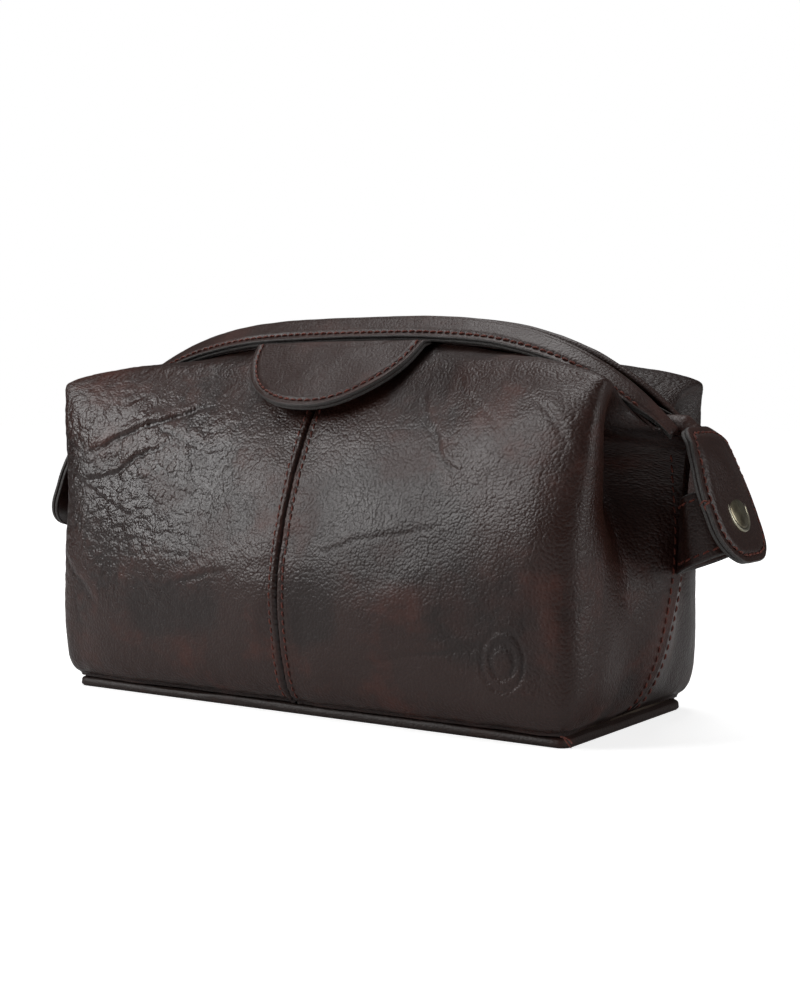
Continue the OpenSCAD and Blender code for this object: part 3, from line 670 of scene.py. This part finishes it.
def capsuleRow(name, centres, along, facing, length, radius):
    # one closed grain per stitch: an arched tube whose radius follows the fourth-power round end
    lift, slant, count = 0.25 * mm, 0.14, len(centres)
    side = np.cross(facing, along)
    skew = unit(along + slant * side)
    side = np.cross(facing, skew)
    t = np.array([-1.0, -0.92, -0.7, -0.35, 0.0, 0.35, 0.7, 0.92, 1.0])
    r = radius * np.maximum(1 - t ** 4, 0.02) ** 0.5
    a = np.linspace(0, 2 * math.pi, 8, endpoint=False)
    wobble = np.random.RandomState(count).rand(count, 3) - 0.5
    reach = length / 2 * (1 + 0.16 * wobble[:, 0])
    points = (centres[:, None, None] + (0.12 * mm * wobble[:, 1])[:, None, None, None] * side[:, None, None]
              + (t[None, :, None] * reach[:, None, None])[..., None] * skew[:, None, None]
              + (lift * (1 - 1.7 * t ** 2))[None, :, None, None] * facing[:, None, None]
              + (r[:, None] * np.cos(a))[None, ..., None] * side[:, None, None]
              + (r[:, None] * np.sin(a))[None, ..., None] * facing[:, None, None])
    rows, columns = len(t), len(a)
    lid = np.array([[0, 1, 2, 3], [0, 3, 4, 7], [4, 5, 6, 7]])
    farLid = (lid + (rows - 1) * columns)[:, ::-1]
    one = np.concatenate([gridFaces(rows, columns, wrapColumns=True), lid, farLid])[:, ::-1]
    faces = (one[None] + (rows * columns * np.arange(count))[:, None, None]).reshape(-1, 4)
    return makeMesh(name, points, faces)


def evenly(points, pitch, facing):
    # stitch places along a path: middles, directions and facings at an even spacing
    s = lengthAlong(points)
    count = max(int(s[-1] / pitch), 1)
    at = (np.arange(count) + 0.5) * s[-1] / count
    pick = lambda values, q: np.stack([np.interp(q, s, values[:, k]) for k in range(3)], -1)
    along = unit(pick(points, at + 0.4 * mm) - pick(points, at - 0.4 * mm))
    face = pick(facing, at)
    return pick(points, at), along, unit(face - along * np.sum(face * along, -1, keepdims=True))


def stitchPath(name, points, facing, pitch, body=None, bend=None):
    centres, along, face = evenly(points, pitch, facing)
    obj = capsuleRow(name, centres, along, face, pitch * 0.82, 0.36 * mm)
    finishPiece(obj, body, thread)
    if bend:
        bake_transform(obj)
    return obj


def mirrored(points, hand=1, side=-1):
    return np.asarray(points, float) * np.array([hand, -side, 1.0])


# ---- centre seam stitches ----

seamStitch = dict(offset=2.9 * mm, pitch=3.2 * mm)


def hidePoints(u, v, hand, side):
    facing = skinFacing(u, v)
    return skin(u, v) + hideRelief(u, v, hand, side)[0][..., None] * facing, facing


def centreSeamStitches(hand, side):
    u = np.interp(seamStitch["offset"], uLength, uTable)
    v = np.linspace(0.35, lastRow - 0.35, 300)
    points, facing = hidePoints(u + 0 * v, v, hand, side)
    stitchPath(sideNames[side] + "_seam_stitches_" + handNames[hand], mirrored(points, hand, side),
               mirrored(facing, hand, side), seamStitch["pitch"], bend=hideBend(side))


def endSeamStitches(hand, side):
    uEnd = np.interp(uLength[-1] - 3.6 * mm, uLength, uTable)
    v = np.linspace(0.35, panelCut["row"] - 0.2, 260)
    points, facing = hidePoints(uEnd + 0 * v, v, hand, side)
    return stitchPath(handNames[hand] + "_end_stitches_" + sideNames[side], mirrored(points, hand, side),
                      mirrored(facing, hand, side), 3.4 * mm, body="root")


for side in (-1, 1):
    for hand in (-1, 1):
        centreSeamStitches(hand, side)
        endSeamStitches(hand, side)
print("seam stitches made")


# ---- sleeves ----

sleeveLook = dict(far=10.1 * mm, half=1.6 * mm, swell=0.45 * mm, stitchAt=7.9 * mm, groove=0.35 * mm)


def sleeveOutline():
    # closed section: upper face from the hem to the ridge fold, round it, lower face back, split edge
    k = sleeveLook
    across = np.linspace(k["far"] - 0.35 * mm, 0, 34)
    bow = k["swell"] * smooth(across / (1.5 * mm)) * smooth((8.6 * mm - across) / (2.6 * mm))
    upper = k["half"] + bow - k["groove"] * bell(across - k["stitchAt"], 0.7 * mm) - 0.12 * mm * bell(
        across - k["far"], 1 * mm)
    angle = np.radians(np.linspace(90, 270, 13))[1:-1]
    ridgeFold = np.stack([np.cos(angle) * k["half"], np.sin(angle) * k["half"]], -1)
    lowerAcross = np.linspace(0, k["far"] - 0.35 * mm, 16)
    lower = np.stack([lowerAcross, -k["half"] + 0 * lowerAcross], -1)
    hem = np.array([(0.0, -1.3), (0.10, -0.9), (0.02, -0.35), (-0.55, -0.08), (-0.55, 0.08), (0.02, 0.35),
                    (0.12, 0.9), (-0.02, 1.35)]) * mm + np.array([k["far"], 0])
    return np.concatenate([np.stack([across, upper], -1), ridgeFold, lower, hem])


def sleevePiece(side):
    section = sleeveOutline()
    x = np.linspace(-mouth["sleeveEnd"], mouth["sleeveEnd"], 420)
    wave = 0.22 * mm * layeredNoise(x / (21 * mm) + 5, 0 * x + side, 61, 2)
    end = smooth((np.abs(x) - 116 * mm) / (14 * mm))[:, None]
    across = section[None, :, 0] * (1 - 0.35 * end) + wave[:, None] * smooth(section[None, :, 0] / (8 * mm))
    up = section[None, :, 1] * (1 - 0.3 * end)
    up = up + 0.10 * mm * layeredNoise(x[:, None] / (7 * mm), across / (5 * mm) + 3 * side, 67, 2) * (up > 0)
    rings = mirrored(sleevePoint(x[:, None], across, up), 1, side)
    cut = np.zeros(len(section))
    cut[-8:] = 1
    obj = tube(sideNames[side] + "_sleeve_leather", rings, {"cut": cut[None] + 0 * up}, flip=side < 0)
    finishPiece(obj, sideNames[side] + "_frame", trimLeather)
    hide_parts(sideNames[side] + "_sleeve")
    path = np.linspace(-122 * mm, 122 * mm, 600)
    k = sleeveLook
    top = sleevePoint(path, k["stitchAt"], k["half"] - k["groove"] * 0.6 + 0.14 * mm)
    above = sleevePoint(path, k["stitchAt"], k["half"] + 1 * mm)
    stitchPath(sideNames[side] + "_sleeve_stitches", mirrored(top, 1, side),
               mirrored(unit(above - top), 1, side), 3.15 * mm, body=sideNames[side] + "_frame")


for side in (-1, 1):
    sleevePiece(side)
print("sleeves made")


# ---- half-moon pull tabs ----

moon = dict(radius=39 * mm, slope=math.radians(43), place=(0, -14.80 * mm, 139.21 * mm), thick=1.65 * mm)


def moonBasis(side):
    c, s = math.cos(moon["slope"]), math.sin(moon["slope"])
    f = -side
    return (np.array(moon["place"]) * (1, f, 1), np.array([1.0, 0, 0]), np.array([0, -c * f, -s]),
            np.array([0, -s * f, c]))


def moonOutline(radius):
    # half circle whose straight top edge runs in under the sleeve, with rounded corners
    corner, over = 5 * mm, 2.5 * mm
    turn = math.degrees(math.asin((corner - over) / (radius - corner)))
    cx = (radius - corner) * math.cos(math.radians(turn))
    return roundedOutline([(0, 0, radius, turn, 180 - turn), (-cx, corner - over, corner, 180 - turn, 270),
                           (cx, corner - over, corner, 270, 360 + turn)])


def moonSlim(y):
    return 0.35 + 0.65 * smooth((y + 1 * mm) / (6 * mm))


def moonPly(side, outer):
    radius = moon["radius"] - (0 if outer else 0.35 * mm)
    z0 = 0.86 * mm if outer else -0.86 * mm

    def lift(x, y):
        # tucked in at the top under the sleeve, standing off lower down, with a slow wave across
        tuck = -4.2 * mm * (1 - smooth((y + 2.5 * mm) / (7.5 * mm)))
        wave = 0.5 * mm * layeredNoise(x / (30 * mm) + 4, y / (22 * mm) + side, 83, 2) * smooth(y / (10 * mm))
        return z0 * moonSlim(y) + tuck + wave + 0.9 * mm * bell(y - 20 * mm, 16 * mm) * bell(x, 30 * mm)

    def relief(x, y, inset):
        groove = -0.38 * mm * bell(inset - 2.6 * mm, 0.75 * mm) * (y > 1.5 * mm)
        puff = 0.18 * mm * bell(inset - 4.6 * mm, 1.4 * mm)
        bendLine = -0.22 * mm * bell(y - (7.5 * mm - 6 * x * x), 1.0 * mm)
        return groove + puff + bendLine + 0.08 * mm * layeredNoise(x / (6 * mm), y / (6 * mm), 91, 2)

    basis = moonBasis(side)
    name = sideNames[side] + ("_moon_outer" if outer else "_moon_inner")
    obj = plate(name, moonOutline(radius), np.array([0, 15 * mm]), moon["thick"], basis, lift,
                relief if outer else None, border=5 * mm, flip=side > 0, slim=moonSlim)
    finishPiece(obj, None, trimLeather)
    down = basis[2]
    bend = (sideNames[side] + "_tab_fold", sideNames[side] + "_pull_tab", tuple(basis[0] + down * 1 * mm),
            tuple(basis[0] + down * 6 * mm))
    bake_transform(obj)
    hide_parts(sideNames[side] + "_pull_tab_root", name.replace("moon", "pull_tab"))
    if outer:
        a = np.linspace(0.10, math.pi - 0.10, 300)
        r = radius - 2.6 * mm
        x, y = r * np.cos(a), r * np.sin(a)
        z = lift(x, y) + moon["thick"] / 2 - 0.16 * mm
        path = placed(basis, x, y, z)
        stitchPath(sideNames[side] + "_moon_stitches", path, basis[3] + 0 * path, 3.2 * mm, bend=bend)


for side in (-1, 1):
    for outer in (True, False):
        moonPly(side, outer)
print("half-moon tabs made")


# ---- end tabs with press studs ----

tab = dict(half=19 * mm, length=50 * mm, top=11 * mm, foot=15 * mm, lean=math.radians(23), thick=1.6 * mm,
           studDown=32 * mm, place=(139 * mm, 0, 107 * mm))


def tabBasis(hand):
    s, c = math.sin(tab["lean"]), math.cos(tab["lean"])
    return (np.array(tab["place"]) * (hand, 1, 1), np.array([0, 1.0, 0]), np.array([hand * s, 0, -c]),
            np.array([hand * c, 0, s]))


def tabOutline(inset):
    w, h = tab["half"] - inset, tab["length"] - inset
    r, e = tab["top"] - inset, tab["foot"] - inset
    outline = roundedOutline([(w - r, inset + r, r, -90, 0), (w - e, h - e, e, 0, 90),
                              (e - w, h - e, e, 90, 180), (r - w, inset + r, r, 180, 270)])
    narrow = 1 - 0.20 * (1 - smooth((outline[:, 1] - 6 * mm) / (20 * mm)))
    return outline * np.stack([narrow, np.ones(len(outline))], -1)


def tabLift(x, y):
    # crown in the upper middle, sides drawn back, top edge tucked in towards the end seam
    crown = 2.6 * mm * bell(y - 17 * mm, 13 * mm) * bell(x, 12 * mm)
    seat = -0.35 * mm * bell(y - tab["studDown"], 6 * mm) * bell(x, 7 * mm)
    sides = 1.1 * mm * smooth((np.abs(x) - 9 * mm) / (12 * mm))
    return crown + seat - sides - 2.4 * mm * (1 - smooth(y / (7 * mm)))


def endTab(hand):
    basis = tabBasis(hand)
    title = handNames[hand] + "_tab"
    down = basis[2]
    bend = ("root", title, tuple(basis[0] - down * 0.5 * mm), tuple(basis[0] + down * 4 * mm))

    def relief(x, y, inset):
        groove = -0.38 * mm * bell(inset - 2.7 * mm, 0.75 * mm)
        puff = 0.20 * mm * bell(inset - 4.8 * mm, 1.5 * mm)
        folds = -0.30 * mm * bell(y - 8.5 * mm - 0.25 * x, 1.1 * mm) * bell(x + 6 * mm, 9 * mm)
        return groove + puff + folds + 0.10 * mm * layeredNoise(x / (6 * mm) + 3, y / (6 * mm), 101 + hand, 2)

    for outer in (True, False):
        z0 = 0.82 * mm if outer else -0.82 * mm
        obj = plate(title + ("_front_ply" if outer else "_back_ply"), tabOutline(0 if outer else 0.4 * mm),
                    np.array([0, 25 * mm]), tab["thick"], basis, lambda x, y, z0=z0: z0 + tabLift(x, y),
                    relief if outer else None, flip=hand < 0)
        finishPiece(obj, None, trimLeather)
        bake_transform(obj)
        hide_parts(title + ("_outer" if outer else "_inner"))
    line = tabOutline(2.7 * mm)
    line = np.concatenate([line, line[:1]])
    z = tabLift(line[:, 0], line[:, 1]) + 0.82 * mm + tab["thick"] / 2 - 0.16 * mm
    path = placed(basis, line[:, 0], line[:, 1], z)
    stitchPath(title + "_stitches", path, basis[3] + 0 * path, 3.2 * mm, bend=bend)


# turned section of the cap, radius and height: dome, rim, underside and shank
capProfile = np.array([(0.35, 1.62), (1.6, 1.58), (3.0, 1.46), (4.3, 1.24), (5.3, 0.98), (5.9, 0.78),
                       (6.1, 0.62), (6.3, 0.60), (6.5, 0.74), (6.9, 0.86), (7.25, 0.80), (7.5, 0.55),
                       (7.55, 0.2), (7.45, -0.15), (6.8, -0.2), (2.0, -0.2), (1.85, -1.4), (0.4, -1.5)]) * mm


def capPiece(hand):
    # turned profile: radius and height swept once round the stud's axis
    basis = tabBasis(hand)
    a = np.linspace(0, 2 * math.pi, 96, endpoint=False)
    r, z = capProfile[:, 0], capProfile[:, 1] + 1.42 * mm
    x, y = r[:, None] * np.cos(a), tab["studDown"] + r[:, None] * np.sin(a)
    rings = placed(basis, x, y, z[:, None])
    rim = np.clip(1 - np.abs(r - 7.0 * mm) / (0.7 * mm), 0, 1)[:, None] + 0 * x
    obj = tube(handNames[hand] + "_stud_cap", rings, {"rim": rim}, flip=hand < 0)
    finishPiece(obj, handNames[hand] + "_tab", brass)
    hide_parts(handNames[hand] + "_tab_cap")


loop = dict(width=23 * mm, thick=2.2 * mm, reach=25 * mm, half=12 * mm, outer=-2.0 * mm, first=21.5 * mm)


def loopSection():
    # rounded bar: thickness across, width down the tab
    h, w, r = loop["thick"] / 2, loop["width"] / 2, 0.65 * mm
    corners = [(h - r, w - r, r, 0, 90), (r - h, w - r, r, 90, 180), (r - h, r - w, r, 180, 270),
               (h - r, r - w, r, 270, 360)]
    return roundedOutline(corners, 0.45 * mm)


def loopHalfWidth(q):
    return np.where(q < 0.5, np.sin(math.pi * np.clip(q, 0, 0.5)),
                    np.maximum(1 - np.clip(2 * q - 1, 0, 1) ** 5, 0) ** 0.4)


def loopPath(y, t):
    # place on the drop at height y down the tab: t runs 0 to 2 from the seam round the front and back
    q = np.sin(math.pi / 2 * np.where(t < 1, t, 2 - t))
    seamX = 133.9 * mm - (y - loop["first"]) * 0.072
    start = (seamX - tab["place"][0] - y * math.sin(tab["lean"])) / math.cos(tab["lean"])
    front = loop["outer"] - loop["thick"] / 2
    x = np.where(t < 1, -1, 1) * (0.8 * mm + (loop["half"] - 0.8 * mm - loop["thick"] / 2) * loopHalfWidth(q))
    x = np.where(q > 0.999, 0, x)
    return x, start + (front - start) * q


def loopStitches(name, basis, height, part):
    # one row on the strap's outer face, over part of the loop's path
    t = np.linspace(*part, 160)
    y = height + 0 * t
    x, z = loopPath(y, t)
    away = unit(np.stack([-np.gradient(z), np.gradient(x)], -1))
    if np.sum(away[:, 0] * x) < 0:
        away = -away
    half = loop["thick"] / 2
    path = placed(basis, x + half * away[:, 0], y, z + half * away[:, 1])
    stitchPath(name, path, away[:, :1] * basis[1] + away[:, 1:] * basis[3], 3.3 * mm, body="root")


def loopPiece(hand):
    basis = tabBasis(hand)
    section = loopSection()
    t = np.concatenate([np.linspace(0, 0.97, 70), np.linspace(0.97, 1.03, 14)[1:-1],
                        np.linspace(1.03, 2, 70)])
    y = loop["first"] + loop["width"] / 2 + section[None, :, 1] + 0 * t[:, None]
    x, z = loopPath(y, t[:, None] + 0 * y)
    dx, dz = np.gradient(x, axis=0), np.gradient(z, axis=0)
    size = np.maximum(np.hypot(dx, dz), 1e-9)
    off = section[None, :, 0]
    x, z = x - off * dz / size, z + off * dx / size
    rings = placed(basis, x, y, z)
    cut = smooth((np.abs(section[:, 1]) - loop["width"] / 2 + 0.7 * mm) / (0.4 * mm))[None] + 0 * x
    obj = tube(handNames[hand] + "_loop_strap", rings, {"cut": cut}, flip=hand > 0)
    finishPiece(obj, "root", trimLeather)
    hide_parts(handNames[hand] + "_strap_loop")
    for j, yEdge in enumerate((2.6 * mm, loop["width"] - 2.6 * mm)):
        for back, part in enumerate(((0.08, 0.86), (1.14, 1.92))):
            name = "%s_loop_stitches_%d_%d" % (handNames[hand], j, back)
            loopStitches(name, basis, loop["first"] + yEdge, part)


for hand in (-1, 1):
    endTab(hand)
    capPiece(hand)
    loopPiece(hand)
print("end tabs, caps and loops made")


# ---- leather roll over each end of the mouth ----

def endRoll(hand):
    # half-round sheet swept along X over the hinge, falling towards the end tab
    x = np.linspace(119 * mm, 138.6 * mm, 60)
    a = np.radians(np.linspace(-25, 205, 40))
    t = smooth((x - 121 * mm) / (17 * mm))
    crest = np.maximum(ridge(np.minimum(x, 132 * mm)) - 3.4 * mm,
                       110.6 * mm - 3.4 * mm * smooth((x - 134 * mm) / (5 * mm)))
    radius = 3.6 * mm + 1.4 * mm * t
    rough = 0.18 * mm * layeredNoise(x[:, None] / (5 * mm), a[None] * 1.4, 151 + hand, 3)

    def shell(r):
        ring = r[:, None] + rough
        height = (crest - radius)[:, None] + ring * np.sin(a)
        return np.stack([x[:, None] + 0 * a, ring * np.cos(a), height], -1)

    rings = np.concatenate([shell(radius), shell(radius - 1.3 * mm)[:, ::-1]], 1) * (hand, 1, 1)
    obj = tube(handNames[hand] + "_mouth_roll", rings, flip=hand < 0)
    finishPiece(obj, "root", trimLeather)


for hand in (-1, 1):
    endRoll(hand)


# ---- hide folded up under the sleeves ----

def hemFold(side, hand):
    # bar swept along the seam, from the hide's top edge up against the sleeve's underside
    x = np.linspace(40.5 * mm, 128 * mm, 90)
    low = np.interp(x, hemPlaces, hemUp)
    inner = hemAcross - 4 * mm
    rings = np.stack([sleevePoint(x, hemAcross, low), sleevePoint(x, inner, -1.7 * mm),
                      sleevePoint(x, inner, -2.6 * mm), sleevePoint(x, hemAcross, low - 1.2 * mm)], 1)
    name = sideNames[side] + "_" + handNames[hand] + "_hem_fold"
    obj = tube(name, mirrored(rings, hand, side), flip=hand * side < 0)
    finishPiece(obj, sideNames[side] + "_frame", trimLeather)


for side in (-1, 1):
    for hand in (-1, 1):
        hemFold(side, hand)


# ---- base piping and loose thread ends ----

piping = dict(out=0.6 * mm, height=3.4 * mm)


def pipingPiece():
    # rounded rib swept round the base's rectangle, its top edge a little uneven
    r, length, width = 4 * mm, halfLength, halfWidth
    x, y = length - r, width - r
    path = roundedOutline([(x, y, r, 0, 90), (-x, y, r, 90, 180), (-x, -y, r, 180, 270),
                           (x, -y, r, 270, 360)], 1.0 * mm)
    out = outlineFacing(path)
    s = np.arange(len(path))
    a = np.radians([-90, -60, -30, 0, 30, 55, 75, 90])
    curve = 1.5 * mm
    low, high = mm * (1 + np.sin(a)), piping["height"] + curve * (np.sin(a) - 1)
    outer = np.stack([piping["out"] + curve * (np.cos(a) - 1), np.where(a > 0, high, low)], -1)
    inner = np.array([(-1.2, 4.1), (-2.2, 3.6), (-2.2, 0.3), (-1.2, 0.0)]) * mm
    section = np.concatenate([outer, inner])
    wave = 0.22 * mm * layeredNoise(s / 23.0, 0 * s, 131, 3)
    reach = section[None, :, 0] + wave[:, None] * (section[None, :, 0] > 0)
    height = section[None, :, 1] + (wave[::-1] * 0.8)[:, None] * (section[None, :, 1] > 3 * mm)
    points = np.concatenate([path[:, None] + out[:, None] * reach[..., None], height[..., None]], -1)
    faces = gridFaces(len(path), len(section), True, True)
    obj = makeMesh("base_binding", points, faces[:, ::-1])
    finishPiece(obj, "root", bindingLeather)
    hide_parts("base_piping")


def strand(name, points, radius, body):
    # thin round thread through a few points, curved between them
    p = np.array(points) * mm
    s = np.linspace(0, len(p) - 1, 10 * (len(p) - 1) + 1)
    wide = np.concatenate([2 * p[:1] - p[1:2], p, 2 * p[-1:] - p[-2:-1]])
    i = np.clip(np.floor(s).astype(int), 0, len(p) - 2)
    line = sum(w[:, None] * wide[i + k] for k, w in enumerate(curveWeights(s - i)))
    along = unit(np.gradient(line, axis=0))
    side = unit(np.cross(along, (0.3, 0.2, 1.0)))
    other = np.cross(along, side)
    a = np.linspace(0, 2 * math.pi, 8, endpoint=False)
    size = radius * np.sqrt(np.clip(1.02 - (s / s[-1]) ** 6, 0.05, 1))
    rings = line[:, None] + size[:, None, None] * (np.cos(a)[None, :, None] * side[:, None]
                                                   + np.sin(a)[None, :, None] * other[:, None])
    return finishPiece(tube(name, rings, flip=True), body, thread)


pipingPiece()
for name, points, radius, body in (
        ("corner_thread_a", [(112.0, -46.0, 4.2), (113.6, -47.0, 3.4), (114.9, -47.4, 2.2),
                             (115.3, -46.4, 1.0)], 0.3 * mm, "root"),
        ("corner_thread_b", [(111.2, -46.4, 4.4), (113.2, -47.6, 4.6), (115.0, -47.2, 3.8),
                             (116.4, -47.8, 2.8)], 0.25 * mm, "root"),
        ("tab_thread_a", [(150.6, -18.2, 82.5), (151.0, -19.4, 82.0), (150.2, -20.6, 81.0),
                          (150.8, -21.2, 79.6)], 0.3 * mm, "right_tab"),
        ("tab_thread_b", [(150.4, -18.2, 82.0), (150.0, -19.8, 82.6), (149.4, -21.0, 82.2),
                          (149.0, -21.9, 81.0)], 0.25 * mm, "right_tab")):
    strand(name, points, radius, body)
print("piping and thread ends made")


# ---- looks of the plain cut pieces that stay as they are ----

plainLooks = {
    trimLeather: ["base_panel"],
    boardCloth: ["base_board", "base_lining"],
    zipCloth: ["front_seam_tape", "rear_seam_tape", "front_zip_tape", "rear_zip_tape", "left_zip_end",
               "right_zip_end"],
    brass: ["front_zip_teeth", "rear_zip_teeth", "zip_slider", "zip_pull", "left_stud", "right_stud",
            "left_tab_socket", "right_tab_socket"],
    steel: ["front_bow", "rear_bow", "left_hinge_pin", "right_hinge_pin", "left_hinge_block",
            "right_hinge_block"],
}
for material, names in plainLooks.items():
    for name in names:
        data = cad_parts[name].data
        data.materials.clear()
        data.materials.append(material)
print("plain pieces given their looks")


# ---- camera, floor and light ----

lamps = dict(room=0.07, overhead=5.0, left=8.5, right=2.6, floorGlow=0.74)

view = dict(place=(0.3708, -0.522, 0.1143), right=(0.8267, 0.5630, 0.0), down=(0.0341, -0.0501, -0.9982),
            lens=58.8)


def makeCamera():
    right = unit(np.array(view["right"]))
    up = -np.array(view["down"])
    up = unit(up - right * np.dot(up, right))
    back = np.cross(right, up)
    data = bpy.data.cameras.new("camera")
    data.lens, data.sensor_width, data.clip_start, data.clip_end = view["lens"], 36.0, 0.01, 50.0
    camera = bpy.data.objects.new("camera", data)
    bpy.context.scene.collection.objects.link(camera)
    camera.matrix_world = Matrix(((right[0], up[0], back[0], view["place"][0]),
                                  (right[1], up[1], back[1], view["place"][1]),
                                  (right[2], up[2], back[2], view["place"][2]), (0, 0, 0, 1)))
    bpy.context.scene.camera = camera


def makeFloor():
    size = 6.0
    low = -0.1 * mm
    points = [(-size, -size, low), (size, -size, low), (size, size, low), (-size, size, low)]
    material, tree, shader = newMaterial("paleFloor", Roughness=0.95)
    shader.inputs["Base Color"].default_value = (0.80, 0.80, 0.80, 1)
    shader.inputs["Specular IOR Level"].default_value = 0.0
    shader.inputs["Emission Color"].default_value = (1, 1, 1, 1)
    path = nodeIn(tree, "ShaderNodeLightPath")
    place = nodeIn(tree, "ShaderNodeTexCoord")
    away = nodeIn(tree, "ShaderNodeVectorMath", operation="LENGTH")
    tree.links.new(place.outputs["Object"], away.inputs[0])
    glow = remap(tree, away.outputs["Value"], 0.16, 0.45, lamps["floorGlow"], 1.0)
    tree.links.new(mathNode(tree, "MULTIPLY", glow, path.outputs["Is Camera Ray"]),
                   shader.inputs["Emission Strength"])
    floor = makeMesh("floor", points, [[0, 1, 2, 3]], shade=False)
    floor.data.materials.append(material)


def softLight(name, place, target, size, power, tint=(1, 1, 1)):
    data = bpy.data.lights.new(name, "AREA")
    data.shape, data.size, data.size_y, data.energy, data.color = "RECTANGLE", size[0], size[1], power, tint
    light = bpy.data.objects.new(name, data)
    bpy.context.scene.collection.objects.link(light)
    light.location = place
    light.rotation_euler = (Vector(target) - Vector(place)).to_track_quat("-Z", "Y").to_euler()


def makeLight():
    world = bpy.data.worlds.new("paleRoom")
    bpy.context.scene.world = world
    world.use_nodes = True
    tree = world.node_tree
    path = nodeIn(tree, "ShaderNodeLightPath")
    tree.nodes["Background"].inputs[0].default_value = (1, 1, 1, 1)
    tree.links.new(remap(tree, path.outputs["Is Camera Ray"], 0.0, 1.0, lamps["room"], 1.0),
                   tree.nodes["Background"].inputs[1])
    softLight("overheadBox", (-0.15, 0.05, 0.95), (0, 0, 0.08), (0.9, 0.5), lamps["overhead"])
    softLight("leftBox", (-0.75, -0.85, 0.60), (0, 0, 0.08), (0.5, 0.6), lamps["left"])
    softLight("rightBox", (0.95, 0.10, 0.35), (0.1, 0, 0.06), (0.3, 0.5), lamps["right"])
    bpy.context.scene.view_settings.view_transform = "Standard"


makeCamera()
makeFloor()
makeLight()
